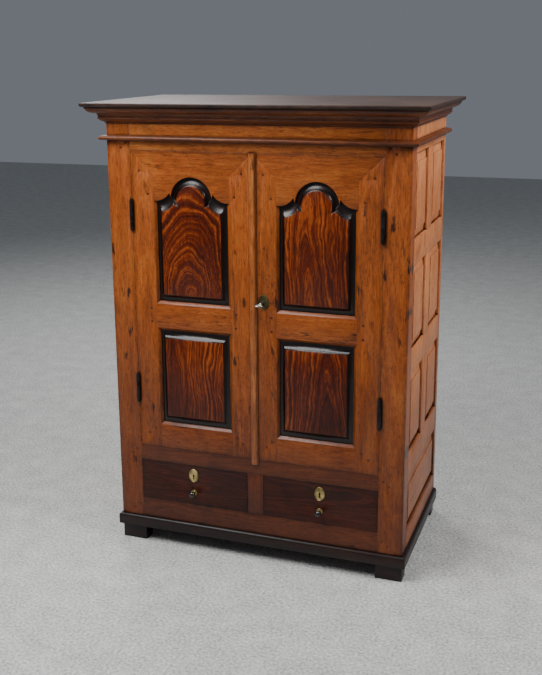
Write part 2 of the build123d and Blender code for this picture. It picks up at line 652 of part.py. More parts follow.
def arched_outline(x_half, bottom, radius, centre_z, end_z, tip, inner_tip, shoulder_arc, level):
    """A closed outline: sill, right side, broken arch, left side."""
    c = OPENING_CENTRE
    run = arch_run(radius, centre_z, end_z, tip, inner_tip, shoulder_arc, (x_half, level))
    corners = [Vector(c - x_half, 0, bottom), Vector(c + x_half, 0, bottom)]
    return [Line(*corners), Line(corners[1], Vector(c + x_half, 0, level)), *run,
            Line(Vector(c - x_half, 0, level), corners[0])]


arch_centre = CROWN - ARCH_RADIUS
face_half = (FACE_RIGHT - FACE_LEFT) / 2
clear_half = (CLEAR_RIGHT - CLEAR_LEFT) / 2
notch_tip = (ARCH_RADIUS + 3.5, SHOULDER + 23)
notch_inner = (ARCH_RADIUS + 0.4, SHOULDER + 23 - CUSP_NOTCH * 0.8)
arch_end = SHOULDER + 23 - CUSP_NOTCH * 1.2
hollow = (ARCH_RADIUS + 23, SHOULDER + 5.3)

arch_outline = arched_outline(face_half, UPPER_BOTTOM, ARCH_RADIUS, arch_centre, arch_end,
                              notch_tip, notch_inner, hollow, SHOULDER)
arch_cut = extrude(face_at(-1, arch_outline), amount=PANEL_RECESS + 1, dir=(0, 1, 0))
arch_cut = arch_cut & block(0, HALF, -2, DOOR_THICKNESS, SHOULDER, HEIGHT)


def bevel_cut(z0, z1, upper_mould):
    """Cuts a rectangular opening with a bevelled edge mould in front of the panel."""
    rise = EDGE_MOULD if upper_mould else 0
    outer = rectangle(FACE_LEFT, FACE_RIGHT, z0, z1)
    inner = rectangle(CLEAR_LEFT, CLEAR_RIGHT, z0 + EDGE_MOULD, z1 - rise)
    front_part = bevelled(corners_to_edges(outer), corners_to_edges(inner), 0, EDGE_MOULD - 1)
    return front_part + prism(inner, EDGE_MOULD - 1, DOOR_THICKNESS + 1)


arch_top_clear = CROWN + 1
lower_clear = (CLEAR_LEFT, CLEAR_RIGHT, LOWER_BOTTOM + EDGE_MOULD, LOWER_TOP - EDGE_MOULD)
upper_clear = (CLEAR_LEFT, CLEAR_RIGHT, UPPER_BOTTOM + EDGE_MOULD, arch_top_clear)

meeting_front = MEETING_GAP
meeting_back = MEETING_GAP + MEETING_BEVEL
blank_plan = [(meeting_front, 0), (DOOR_OUTER, 0), (DOOR_OUTER, DOOR_THICKNESS),
              (meeting_back, DOOR_THICKNESS)]
blank = plan_prism(blank_plan) & block(0, HALF, -1, DOOR_THICKNESS + 1, DOOR_BOTTOM, DOOR_TOP)
door_tools = [
    arch_cut, bevel_cut(LOWER_BOTTOM, LOWER_TOP, True), bevel_cut(UPPER_BOTTOM, SHOULDER, False),
    prism(rectangle(*upper_clear), PANEL_RECESS, DOOR_THICKNESS + 1),
    groove(*lower_clear, PANEL_RECESS), groove(*upper_clear, PANEL_RECESS)]
lock_keyhole = keyhole(LOCK_X, LOCK_Z, -1, DOOR_THICKNESS + 1, KEY_SHAFT_RADIUS + KEYHOLE_PLAY,
                       *KEYHOLE_SLOT)
blank = cut(blank, door_tools + door_pockets + door_screws)

inside = EDGE_MOULD + 3


def stile_mask(outer_x, joint_x, towards):
    """The stile's share of the door: full height, mitred at its top outer corner, and lapping
    into the openings with its edge mould, which meets the rails' on a mitre."""
    reach = joint_x + towards * inside
    return [(outer_x, DOOR_BOTTOM - 1), (joint_x, DOOR_BOTTOM - 1), (joint_x, LOWER_BOTTOM),
            (reach, LOWER_BOTTOM + inside), (reach, LOWER_TOP - inside), (joint_x, LOWER_TOP),
            (joint_x, UPPER_BOTTOM), (reach, UPPER_BOTTOM + inside), (reach, SHOULDER),
            (joint_x, SHOULDER), (joint_x, DOOR_TOP - STILE_FACE), (outer_x, DOOR_TOP)]


def rail_mask(z0, z1, low_lap, high_lap):
    return [(FACE_LEFT, z0), (FACE_LEFT + low_lap, z0 - low_lap),
            (FACE_RIGHT - low_lap, z0 - low_lap), (FACE_RIGHT, z0), (FACE_RIGHT, z1),
            (FACE_RIGHT - high_lap, z1 + high_lap), (FACE_LEFT + high_lap, z1 + high_lap),
            (FACE_LEFT, z1)]


def without_repeats(points):
    return [p for i, p in enumerate(points) if p != points[i - 1]]


masks = {
    "hinge_stile": stile_mask(DOOR_OUTER, FACE_RIGHT, -1),
    "meeting_stile": stile_mask(MEETING_GAP, FACE_LEFT, 1),
    "top_rail": [(MEETING_GAP, DOOR_TOP), (FACE_LEFT, DOOR_TOP - STILE_FACE), (FACE_LEFT, SHOULDER),
                 (FACE_RIGHT, SHOULDER), (FACE_RIGHT, DOOR_TOP - STILE_FACE), (DOOR_OUTER, DOOR_TOP)],
    "middle_rail": rail_mask(LOWER_TOP, UPPER_BOTTOM, inside, inside),
    "bottom_rail": without_repeats(rail_mask(DOOR_BOTTOM, LOWER_BOTTOM, 0, inside))}
members = {name: blank & prism(mask, -1, DOOR_THICKNESS + 1) for name, mask in masks.items()}

rail_tenons = {
    "top_rail": (SHOULDER + 8, DOOR_TOP - STILE_FACE - 4),
    "middle_rail": (LOWER_TOP + 9, UPPER_BOTTOM - 9),
    "bottom_rail": (DOOR_BOTTOM + 8, LOWER_BOTTOM - 9)}
door_pegs = []
for name, (z0, z1) in rail_tenons.items():
    ends = [block(FACE_LEFT - TENON_LENGTH, FACE_LEFT, *tenon_y, z0, z1),
            block(FACE_RIGHT, FACE_RIGHT + TENON_LENGTH, *tenon_y, z0, z1)]
    members[name] = members[name] + ends[0] + ends[1]
    members["meeting_stile"] -= ends[0]
    members["hinge_stile"] -= ends[1]
peg_places = (
    (PEG_OUTER, DOOR_TOP - 56), (PEG_INNER, SHOULDER + 18), (PEG_INNER, UPPER_BOTTOM - 15),
    (PEG_INNER, LOWER_TOP + 16), (PEG_INNER, LOWER_BOTTOM - 13), (PEG_OUTER - 5, DOOR_BOTTOM + 40))
for inset, z in peg_places:
    for x in (FACE_LEFT - inset * 0.85, FACE_RIGHT + inset):
        door_pegs.append(across(x, z, -PEG_PROUD, PEG_LENGTH, PEG_RADIUS))
members = {name: cut(shape, door_pegs) for name, shape in members.items()}

field_level = SHOULDER - FIELD_END_BORDER
field_half = face_half - FIELD_SIDE_BORDER
field_base = arched_outline(
    clear_half - PANEL_PLAY, UPPER_BOTTOM + EDGE_MOULD + PANEL_PLAY, ARCH_RADIUS - PANEL_PLAY,
    arch_centre, arch_end - 1, (notch_tip[0] - 1, notch_tip[1] - 4),
    (notch_inner[0] - PANEL_PLAY, notch_inner[1] - 2), (hollow[0], hollow[1] - 1.5),
    SHOULDER - PANEL_PLAY)
field_top = arched_outline(
    field_half, UPPER_BOTTOM + FIELD_END_BORDER - 2, FIELD_ARCH_RADIUS,
    CROWN - 24.5 - FIELD_ARCH_RADIUS, field_level + 27, (51, field_level + 22),
    (43.5, field_level + 15.5), (66, field_level + 7.5), field_level)
upper_panel = block(CLEAR_LEFT - PANEL_TONGUE + PANEL_PLAY, CLEAR_RIGHT + PANEL_TONGUE - PANEL_PLAY,
                    PANEL_RECESS + 0.1, PANEL_BACK - 0.1,
                    UPPER_BOTTOM + EDGE_MOULD - PANEL_TONGUE + PANEL_PLAY,
                    arch_top_clear + PANEL_TONGUE - PANEL_PLAY)
upper_panel += bevelled(field_base, field_top, PANEL_RECESS + 0.1, -PANEL_PROUD)
lower_panel = raised_panel(*lower_clear, FIELD_SIDE_BORDER - EDGE_MOULD,
                           FIELD_END_BORDER - EDGE_MOULD, PANEL_RECESS, -PANEL_PROUD)

for side, flip in (("right", list), ("left", mirrored)):
    meeting = members["meeting_stile"]
    if side == "right":
        meeting = meeting - lock_keyhole
    save(f"{side}_door_stiles", *flip([members["hinge_stile"], meeting]))
    save(f"{side}_door_top_rail", *flip([members["top_rail"]]))
    save(f"{side}_door_rails", *flip([members["middle_rail"], members["bottom_rail"]]))
    save(f"{side}_door_upper_panel", *flip([upper_panel]))
    save(f"{side}_door_lower_panel", *flip([lower_panel]))
    save(f"{side}_door_pegs", *flip(door_pegs))

# ---- Meeting strip on the right door, lapping the left one ----
strip_low = DOOR_BAY_BOTTOM - STRIP_TAIL
strip = block(-STRIP_LEFT, STRIP_RIGHT, -STRIP_PROJECTION, 0, strip_low, DOOR_TOP)
strip = fillet(strip.edges().filter_by(Axis.Z).group_by(Axis.Y)[0], 4.5)
strip -= block(-STRIP_LEFT - 1, MEETING_GAP, -STRIP_PLAY, 1, strip_low - 1, DOOR_TOP + 1)
strip -= block(-STRIP_LEFT - 1, STRIP_RIGHT + 1, -STRIP_PLAY, 1, strip_low - 1, DOOR_BOTTOM)
save("right_door_meeting_strip", strip)

# ---- Lock, bolt, keep and key ----
save("right_door_escutcheon", escutcheon(LOCK_X, LOCK_Z))
case_x = (LOCK_CASE_SETBACK, LOCK_CASE_SETBACK + LOCK_CASE_WIDTH)
case_y = (DOOR_THICKNESS, DOOR_THICKNESS + LOCK_CASE_DEPTH)
case_z = (LOCK_Z - LOCK_CASE_HEIGHT / 2, LOCK_Z + LOCK_CASE_HEIGHT / 2)
bolt_z = (LOCK_Z + KEY_BIT_RADIUS + 3, LOCK_Z + KEY_BIT_RADIUS + 3 + LOCK_BOLT_HEIGHT)
bolt_depth = (DOOR_THICKNESS + 6, DOOR_THICKNESS + 12)
play = 0.4
case = block(*case_x, *case_y, *case_z)
case -= block(case_x[0] - 1, case_x[1] - 3, bolt_depth[0] - play, bolt_depth[1] + play,
              bolt_z[0] - play, bolt_z[1] + play)
case -= across(LOCK_X, LOCK_Z, DOOR_THICKNESS + 3, case_y[1] - 2, KEY_BIT_RADIUS + 1.5)
case -= keyhole(LOCK_X, LOCK_Z, DOOR_THICKNESS - 1, DOOR_THICKNESS + 4, KEY_SHAFT_RADIUS + 0.4,
                *KEYHOLE_SLOT)
save("right_door_lock_case", case)
bolt_tip = case_x[0] + 1.5
lock_bolt = block(bolt_tip, bolt_tip + LOCK_BOLT_LENGTH, *bolt_depth, *bolt_z)
save("right_door_lock_bolt", lock_bolt)
keep = block(-KEEP_SETBACK - KEEP_LENGTH, -KEEP_SETBACK, *case_y, bolt_z[0] - 7, bolt_z[1] + 7)
pocket_end = bolt_tip - LOCK_BOLT_THROW - POCKET_END_PLAY
keep -= block(pocket_end, -KEEP_SETBACK + 1, bolt_depth[0] - KEEP_PLAY,
              bolt_depth[1] + KEEP_PLAY, bolt_z[0] - KEEP_PLAY, bolt_z[1] + KEEP_PLAY)
save("left_door_lock_keep", keep)

bow_centre = -KEY_PROTRUSION + KEY_BOW_LENGTH / 2
bow_plane = Plane(origin=(LOCK_X, bow_centre, LOCK_Z - KEY_THICKNESS / 2))
bow = extrude(bow_plane * Ellipse(KEY_BOW_WIDTH / 2, KEY_BOW_LENGTH / 2), amount=KEY_THICKNESS)
bow -= extrude(bow_plane * Ellipse(KEY_BOW_WIDTH / 2 - 4, KEY_BOW_LENGTH / 2 - 4),
               amount=KEY_THICKNESS)
key_tip = case_y[1] - 3
key = bow + across(LOCK_X, LOCK_Z, bow_centre + KEY_BOW_LENGTH / 2 - 2, key_tip, KEY_SHAFT_RADIUS)
collar_y = bow_centre + KEY_BOW_LENGTH / 2 + 3
key += across(LOCK_X, LOCK_Z, collar_y, collar_y + 2.5, KEY_SHAFT_RADIUS + 1.6)
key += block(LOCK_X, LOCK_X + KEY_BIT_RADIUS, DOOR_THICKNESS + 5, key_tip - 1, LOCK_Z - 1.3,
             LOCK_Z + 1.3)
save("right_door_key", key)

# ---- Foot bolt on the left door ----
plate_z = (DOOR_BOTTOM + 4, DOOR_BOTTOM + 96)
bolt_plate = block(-FOOT_BOLT_X - 14, -FOOT_BOLT_X + 14, DOOR_THICKNESS, DOOR_THICKNESS + 1.8,
                   *plate_z)
for z in (plate_z[0] + 14, plate_z[0] + 66):
    staple = block(-FOOT_BOLT_X - 9, -FOOT_BOLT_X + 9, DOOR_THICKNESS + 1.8,
                   foot_bolt_y + FOOT_BOLT_RADIUS + 3, z, z + 10)
    bolt_plate += staple
bolt_plate -= upright(-FOOT_BOLT_X, foot_bolt_y, plate_z[0] - 1, plate_z[1] + 1,
                      FOOT_BOLT_RADIUS + 0.3)
save("left_door_bolt_plate", bolt_plate)
rod_low = DOOR_BOTTOM + 1.4
foot_bolt = upright(-FOOT_BOLT_X, foot_bolt_y, rod_low, rod_low + FOOT_BOLT_LENGTH,
                    FOOT_BOLT_RADIUS)
foot_bolt += across(-FOOT_BOLT_X, rod_low + 52, foot_bolt_y, foot_bolt_y + 16, 3)
foot_bolt += across(-FOOT_BOLT_X, rod_low + 52, foot_bolt_y + 12, foot_bolt_y + 18, 5)
save("left_door_foot_bolt", foot_bolt)
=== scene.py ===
# %% [markdown]
# # An antique two-door cupboard
# A tall wooden cupboard with a cornice, two panelled doors and two small drawers. Every length is
# in metres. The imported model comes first: it fixes where each piece is, and which body carries it.

# %% Load the frame
import json
import math
import random

import bmesh
import bpy
import numpy as np
from mathutils import Matrix, Vector


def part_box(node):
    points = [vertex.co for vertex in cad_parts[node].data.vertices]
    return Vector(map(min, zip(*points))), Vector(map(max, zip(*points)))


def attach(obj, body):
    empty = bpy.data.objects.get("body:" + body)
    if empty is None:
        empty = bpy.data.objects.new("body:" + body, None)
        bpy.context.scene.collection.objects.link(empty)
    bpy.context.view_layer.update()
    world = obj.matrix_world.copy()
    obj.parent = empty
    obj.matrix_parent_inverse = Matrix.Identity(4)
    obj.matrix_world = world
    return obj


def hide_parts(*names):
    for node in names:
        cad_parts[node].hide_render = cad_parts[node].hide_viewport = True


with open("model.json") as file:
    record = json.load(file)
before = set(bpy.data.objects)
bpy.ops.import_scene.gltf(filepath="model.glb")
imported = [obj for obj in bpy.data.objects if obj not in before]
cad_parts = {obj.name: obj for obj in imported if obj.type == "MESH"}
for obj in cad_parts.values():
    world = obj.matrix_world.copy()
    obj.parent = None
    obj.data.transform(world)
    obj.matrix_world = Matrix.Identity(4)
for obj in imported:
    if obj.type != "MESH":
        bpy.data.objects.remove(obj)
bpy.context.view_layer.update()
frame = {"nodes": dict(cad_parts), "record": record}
nodes = frame["nodes"]
body_of_node = {node: body for body, members in frame["record"]["behaviour"]["bodies"].items()
                for node in members}

# %% [markdown]
# ## The camera
# A tall piece of furniture looks natural from a little above and to one side, from a few steps
# away. The lens is moderately long, and a small shift brings the cupboard to the middle.

# %% Place the camera
YAW, PITCH, ROLL = math.radians(-20.223), math.radians(13.716), math.radians(-0.579)
ahead = Vector((math.sin(YAW) * math.cos(PITCH), math.cos(YAW) * math.cos(PITCH),
                -math.sin(PITCH)))
level_right = Vector((math.cos(YAW), -math.sin(YAW), 0))
level_up = level_right.cross(ahead)
right = level_right * math.cos(ROLL) + level_up * math.sin(ROLL)
up = level_up * math.cos(ROLL) - level_right * math.sin(ROLL)
camera = bpy.data.objects.new("camera", bpy.data.cameras.new("camera"))
bpy.context.collection.objects.link(camera)
turn = Matrix((right, up, -ahead)).transposed()
camera.matrix_world = Matrix.Translation((0.9240, -2.69965, 1.4306)) @ turn.to_4x4()
camera.data.lens = 53.35
camera.data.shift_x, camera.data.shift_y = 0.0214, -0.0617
bpy.context.scene.camera = camera
print("camera at", tuple(round(v, 2) for v in camera.location))

# %% [markdown]
# ## Values that can be added
# A material is a graph of small sums. Written node by node it is long and hard to read, so one
# class stands for a socket and turns each Python operator into a Math node. Every other node is
# made by one method, which sets its options first and then its sockets.


# %% A socket that does sums, and the bench that makes nodes
class Value:
    """One output socket of a node, used in sums like a number."""

    def __init__(self, bench, socket):
        self.bench = bench
        self.socket = socket

    def sum(self, operation, *terms):
        return self.bench.node("ShaderNodeMath", {"operation": operation}, dict(enumerate(terms)))

    def __add__(self, other):
        return self.sum("ADD", self, other)

    def __radd__(self, other):
        return self.sum("ADD", other, self)

    def __sub__(self, other):
        return self.sum("SUBTRACT", self, other)

    def __rsub__(self, other):
        return self.sum("SUBTRACT", other, self)

    def __mul__(self, other):
        return self.sum("MULTIPLY", self, other)

    def __rmul__(self, other):
        return self.sum("MULTIPLY", other, self)

    def __truediv__(self, other):
        return self.sum("DIVIDE", self, other)

    def __pow__(self, other):
        return self.sum("POWER", self, other)


class Bench:
    """Makes the nodes of one tree."""

    def __init__(self, tree):
        self.tree = tree

    def node(self, kind, settings, inputs, output=0):
        made = self.tree.nodes.new(kind)
        for name, value in settings.items():
            if name == "stops":
                self.fill_ramp(made.color_ramp, value)
            else:
                setattr(made, name, value)
        for name, value in inputs.items():
            if isinstance(value, Value):
                self.tree.links.new(value.socket, made.inputs[name])
            else:
                made.inputs[name].default_value = value
        return Value(self, made.outputs[output])

    def fill_ramp(self, ramp, stops):
        while len(ramp.elements) < len(stops):
            ramp.elements.new(1.0)
        for element, (place, colour) in zip(ramp.elements, stops):
            element.position = place
            element.color = colour

    def step(self, value, low, high):
        """0 below low, 1 above high, and smooth between them."""
        settings = {"interpolation_type": "SMOOTHSTEP"}
        return self.node("ShaderNodeMapRange", settings, {0: value, 1: low, 2: high})

    def stretch(self, vector, scale, place=(0, 0, 0)):
        return self.node("ShaderNodeMapping", {}, {0: vector, 1: place, 3: scale})

    def noise(self, vector, detail=2.0, distortion=0.0):
        return self.node("ShaderNodeTexNoise", {}, {"Vector": vector, "Scale": 1.0,
                                                    "Detail": detail, "Distortion": distortion})

    def mix(self, factor, first, second, way="MIX"):
        settings = {"data_type": "RGBA", "blend_type": way}
        return self.node("ShaderNodeMix", settings, {0: factor, 6: first, 7: second}, 2)

    def ramp(self, value, stops):
        return self.node("ShaderNodeValToRGB", {"stops": stops}, {0: value})

    def split(self, vector):
        parts = self.node("ShaderNodeSeparateXYZ", {}, {0: vector}).socket.node.outputs
        return [Value(self, part) for part in parts]

    def attribute(self, name):
        return self.node("ShaderNodeAttribute", {"attribute_name": name}, {}, 1)


def rgb(red, green, blue):
    """A colour from the 0 to 255 numbers of a paint chart, as the linear light that nodes use."""
    return tuple((c / 255) ** 2.2 for c in (red, green, blue)) + (1.0,)


def new_material(name):
    material = bpy.data.materials.new(name)
    material.use_nodes = True
    shader = material.node_tree.nodes["Principled BSDF"]
    return material, Bench(material.node_tree), shader


def connect(bench, shader, sockets):
    for name, value in sockets.items():
        if isinstance(value, Value):
            bench.tree.links.new(value.socket, shader.inputs[name])
        else:
            shader.inputs[name].default_value = value


print("the bench is ready")

# %% [markdown]
# ## Wood, cut from a log
# Real boards are slices through a trunk: year rings are tubes round its heart, and a board shows
# the curves where its face cuts them. Each board here carries three attributes: where a point is
# along, across and deep in its own piece of log, where it is in the board, and the board's half
# sizes. Boards therefore differ from each other, grain runs along each of them, and the shader
# knows how near a point is to an arris, where polish wears and dirt gathers.


# %% The wood shader
def wood(name, colours, ring=0.006, figure=0.5, contrast=1.0, wander=0.012, mottle=0.5,
         flecks=0.5, patch=0.7, gloss=0.35, coat=0.1, wear=0.4, dirt_and_shade=0.7, knots=0.0, bump=0.25,
         shine=0.35, foot=0.0):
    """colours are dark, middle and light. ring is the rings' spacing, figure and contrast how
    strongly they show, wander how far the grain strays, mottle, flecks and patch the strength of
    the small figure, the pores and the slow changes over the whole piece. foot is how much
    darker the lowest part is painted: painted shade for the light falling off towards the floor."""
    material, bench, shader = new_material(name)
    grain = bench.attribute("grain")
    along, across, deep = bench.split(grain)
    place = bench.node("ShaderNodeTexCoord", {}, {}, 3)
    dark, middle, light = colours
    black = tuple(c * 0.22 for c in dark[:3]) + (1.0,)

    stray = bench.noise(bench.stretch(grain, (4.0, 9.0, 9.0)), 2.0) - 0.5
    drift = bench.noise(bench.stretch(grain, (14.0, 40.0, 40.0), (3.1, 0, 0)), 2.0) - 0.5
    bent = across + stray * (2.6 * wander) + drift * (0.6 * wander)
    sunk = deep + stray * wander
    radius = (bent * bent + sunk * sunk) ** 0.5
    rings = bench.node("ShaderNodeTexNoise", {"noise_dimensions": "1D"},
                       {"W": radius / ring, "Scale": 1.0, "Detail": 3.0, "Roughness": 0.62})
    bands = bench.step(rings, 0.5 - 0.24 / contrast, 0.5 + 0.24 / contrast)

    fibres = bench.noise(bench.stretch(grain, (30.0, 520.0, 520.0)), 3.0)
    ripple = bench.noise(bench.stretch(grain, (24.0, 130.0, 130.0), (7.7, 0, 0)), 5.0, 0.8)
    lines = bench.noise(bench.stretch(grain, (5.0, 260.0, 260.0), (2.2, 0, 0)), 4.0)
    patches = bench.noise(bench.stretch(place, (4.5, 4.5, 3.2)), 3.0)
    dashes = bench.noise(bench.stretch(grain, (75.0, 420.0, 420.0), (1.3, 0, 0)), 2.0)
    pore = bench.step(dashes, 0.55, 0.70) * flecks

    depth = figure * (bands - 0.5) + mottle * (ripple - 0.5) + 0.35 * (fibres - 0.5)
    depth = depth + patch * (patches - 0.5) + 0.7 * mottle * (lines - 0.5) + 0.5
    colour = bench.ramp(depth, [(0.08, dark), (0.5, middle), (0.92, light)])
    stain = bench.noise(bench.stretch(place, (13.0, 13.0, 9.0), (0.4, 0.9, 0.2)), 5.0)
    colour = bench.mix(bench.step(stain, 0.56, 0.80) * 0.6, colour, dark)
    colour = bench.mix(pore * 0.7, colour, black)

    if knots:
        flat = bench.stretch(grain, (6.0, 15.0, 0.0))
        cells = bench.node("ShaderNodeTexVoronoi", {"voronoi_dimensions": "2D"},
                           {"Vector": flat, "Scale": 1.0})
        picked = bench.noise(bench.stretch(grain, (2.3, 6.0, 0.0), (9.0, 4.0, 0)), 1.0)
        spot = 1.0 - bench.step(cells + 0.5 * (ripple - 0.5), 0.03, 0.10)
        colour = bench.mix(spot * bench.step(picked, 0.47, 0.56) * knots, colour, black)
        split = bench.noise(bench.stretch(grain, (3.0, 42.0, 42.0), (5.0, 1.0, 0)), 2.0) - 0.5
        check = 1.0 - bench.step(split.sum("ABSOLUTE", split), 0.0, 0.010)
        check = check * bench.step(picked, 0.53, 0.64) * (0.75 * knots)
        colour = bench.mix(check, colour, black)
        holes = bench.node("ShaderNodeTexVoronoi", {"voronoi_dimensions": "2D"}, {
            "Vector": bench.stretch(grain, (42.0, 62.0, 0.0)), "Scale": 1.0})
        eaten = bench.noise(bench.stretch(grain, (9.0, 14.0, 0.0), (3.0, 8.0, 0)), 1.0)
        hole = (1.0 - bench.step(holes, 0.04, 0.11)) * bench.step(eaten, 0.50, 0.62)
        colour = bench.mix(hole * (0.85 * knots), colour, black)

    offsets = bench.node("ShaderNodeVectorMath", {"operation": "ABSOLUTE"},
                         {0: bench.attribute("board")})
    room = bench.split(bench.node("ShaderNodeVectorMath", {"operation": "SUBTRACT"},
                                  {0: bench.attribute("half"), 1: offsets}))
    nearest = room[0].sum("MINIMUM", room[0], room[1])
    farther = room[0].sum("MAXIMUM", room[0], room[1])
    edge = nearest.sum("MAXIMUM", nearest, nearest.sum("MINIMUM", farther, room[2]))
    rub = bench.noise(bench.stretch(place, (38.0, 38.0, 38.0)), 4.0)
    arris = 1.0 - bench.step(edge + 0.0035 * (rub - 0.5), 0.0006, 0.0030)
    soiled = 1.0 - bench.step(edge + 0.012 * (rub - 0.5), 0.0, 0.013)
    colour = bench.mix(soiled * (0.45 * dirt_and_shade), colour, dark, "MULTIPLY")
    polished = tuple(min(1.0, c * 1.15) for c in light[:3]) + (1.0,)
    colour = bench.mix(arris * bench.step(rub, 0.50, 0.66) * wear, colour, polished)
    # Ambient occlusion darkens the colour in grooves, creases and the corners between pieces:
    # painted shade. Its strength follows the same setting as the dirt near the edges.
    open_air = bench.node("ShaderNodeAmbientOcclusion", {"samples": 6}, {"Distance": 0.007}, 1)
    painted_crevice_shade = 1.0 - bench.step(open_air, 0.50, 0.97)
    colour = bench.mix(painted_crevice_shade * min(1.0, 1.25 * dirt_and_shade), colour, black)
    # Darker towards the floor: painted shade for the light falling off lower down.
    if foot:
        height_up = bench.split(place)[2]
        painted_low_shade = 1.0 - bench.step(height_up + 0.25 * (patches - 0.5), 0.02, 0.85)
        colour = bench.mix(painted_low_shade * foot, colour, (0.34, 0.26, 0.22, 1.0), "MULTIPLY")

    handled = bench.noise(bench.stretch(place, (7.0, 7.0, 5.0), (2.0, 5.0, 1.0)), 3.0)
    rough = gloss + 0.16 * (handled - 0.5) + 0.15 * pore + 0.12 * (ripple - 0.5)
    height = fibres * 0.4 + (1.0 - pore) * 0.8 + bands * 0.2
    relief = bench.node("ShaderNodeBump", {}, {"Strength": bump, "Distance": 0.0006,
                                               "Height": height})
    waves = bench.noise(bench.stretch(place, (16.0, 16.0, 11.0)), 2.0)
    relief = bench.node("ShaderNodeBump", {}, {"Strength": 0.30, "Distance": 0.002,
                                               "Height": waves, "Normal": relief})
    connect(bench, shader, {"Base Color": colour, "Roughness": rough, "Normal": relief,
                            "Coat Weight": coat * (0.7 + 0.6 * handled), "Coat Roughness": 0.25,
                            "Specular IOR Level": shine})
    return material


woods = {
    "front_wood": wood("warm_front_wood", (rgb(74, 32, 10), rgb(150, 75, 26), rgb(182, 106, 46)),
                       ring=0.007, figure=0.16, wander=0.03, mottle=0.6, flecks=0.7, patch=0.55,
                       knots=0.9, gloss=0.42, foot=0.75),
    "side_wood": wood("warm_side_wood", (rgb(106, 52, 26), rgb(196, 118, 70), rgb(228, 162, 110)),
                      ring=0.007, figure=0.16, wander=0.03, mottle=0.55, flecks=0.6, patch=0.5,
                      knots=0.7, gloss=0.45, foot=0.85),
    "top_wood": wood("cornice_wood", (rgb(44, 20, 8), rgb(104, 52, 22), rgb(150, 84, 38)),
                     ring=0.006, figure=0.2, wander=0.02, mottle=0.6, gloss=0.44, coat=0.05,
                     knots=0.3),
    "base_wood": wood("base_wood", (rgb(16, 7, 4), rgb(44, 19, 10), rgb(72, 36, 19)),
                      ring=0.006, figure=0.2, wander=0.02, mottle=0.7, gloss=0.46, coat=0.1,
                      dirt_and_shade=0.9, knots=0.3, foot=0.8),
    "inner_wood": wood("inside_wood", (rgb(88, 56, 30), rgb(140, 100, 62), rgb(176, 136, 92)),
                       ring=0.009, figure=0.4, wander=0.02, gloss=0.6, coat=0.0, knots=0.5),
    "drawer_wood": wood("drawer_rosewood", (rgb(16, 6, 3), rgb(56, 22, 11), rgb(88, 38, 20)),
                        ring=0.005, figure=0.35, wander=0.02, contrast=1.0, gloss=0.36,
                        coat=0.06, shine=0.25),
    "rosewood": wood("panel_rosewood", (rgb(30, 9, 3), rgb(92, 34, 12), rgb(172, 84, 32)),
                     ring=0.0075, figure=0.42, wander=0.026, contrast=1.1, mottle=0.45,
                     flecks=0.8, patch=0.75, gloss=0.36, coat=0.06, wear=0.2, dirt_and_shade=0.35,
                     shine=0.25, foot=0.6),
    "ebony": wood("dark_moulding", (rgb(8, 4, 3), rgb(24, 11, 8), rgb(46, 24, 16)), ring=0.004,
                  gloss=0.34, coat=0.22, wear=0.15, dirt_and_shade=0.25, mottle=0.8, bump=0.5),
    # A darker copy of the front wood for the lower rails: partly darker wood, partly painted shade.
    "rail_wood": wood("shaded_rail_wood", (rgb(52, 22, 8), rgb(112, 54, 22), rgb(142, 78, 36)),
                      ring=0.007, figure=0.16, wander=0.03, mottle=0.6, flecks=0.7, patch=0.55,
                      knots=0.7, gloss=0.46, foot=0.75),
    # A lighter copy of the front wood for the top rail: painted light.
    "frieze_wood": wood("frieze_wood", (rgb(86, 40, 14), rgb(170, 90, 36), rgb(204, 126, 60)),
                        ring=0.007, figure=0.16, wander=0.03, mottle=0.6, flecks=0.7, patch=0.8,
                        knots=0.9, gloss=0.42),
    # A darker, greyer copy for the top board: its grey is partly a painted sheen.
    "lid_wood": wood("top_board_wood", (rgb(26, 18, 14), rgb(60, 42, 34), rgb(92, 68, 56)),
                     ring=0.006, figure=0.2, wander=0.02, mottle=0.7, gloss=0.5, coat=0.02,
                     knots=0.3),
}
print(len(woods), "woods")

# %% [markdown]
# ## Eased edges and a piece of log for every board
# No board on an old cupboard has a knife-sharp edge. A copy of each wooden piece gets its small
# flats joined, its edges eased with a Bevel modifier, and its attributes: the longest way is the
# way of the grain, and each board takes its own place in the log from a seeded number.


# %% Helpers that join, ease and mark the boards
def merged(node):
    """A clean copy of a node's loose triangles: doubles joined and flats dissolved."""
    made = bmesh.new()
    made.from_mesh(nodes[node].data)
    bmesh.ops.remove_doubles(made, verts=made.verts, dist=1e-5)
    bmesh.ops.dissolve_limit(made, angle_limit=math.radians(0.4), verts=made.verts,
                             edges=made.edges)
    return made


def boards_of(mesh):
    """The vertex numbers of each separate board in a mesh."""
    owner = np.arange(len(mesh.vertices))
    pairs = np.empty(len(mesh.edges) * 2, np.int32)
    mesh.edges.foreach_get("vertices", pairs)
    pairs = pairs.reshape(-1, 2)
    while True:
        lowest = np.minimum(owner[pairs[:, 0]], owner[pairs[:, 1]])
        before = owner.copy()
        np.minimum.at(owner, pairs[:, 0], lowest)
        np.minimum.at(owner, pairs[:, 1], lowest)
        owner = owner[owner]
        if (owner == before).all():
            return [np.flatnonzero(owner == first) for first in np.unique(owner)]


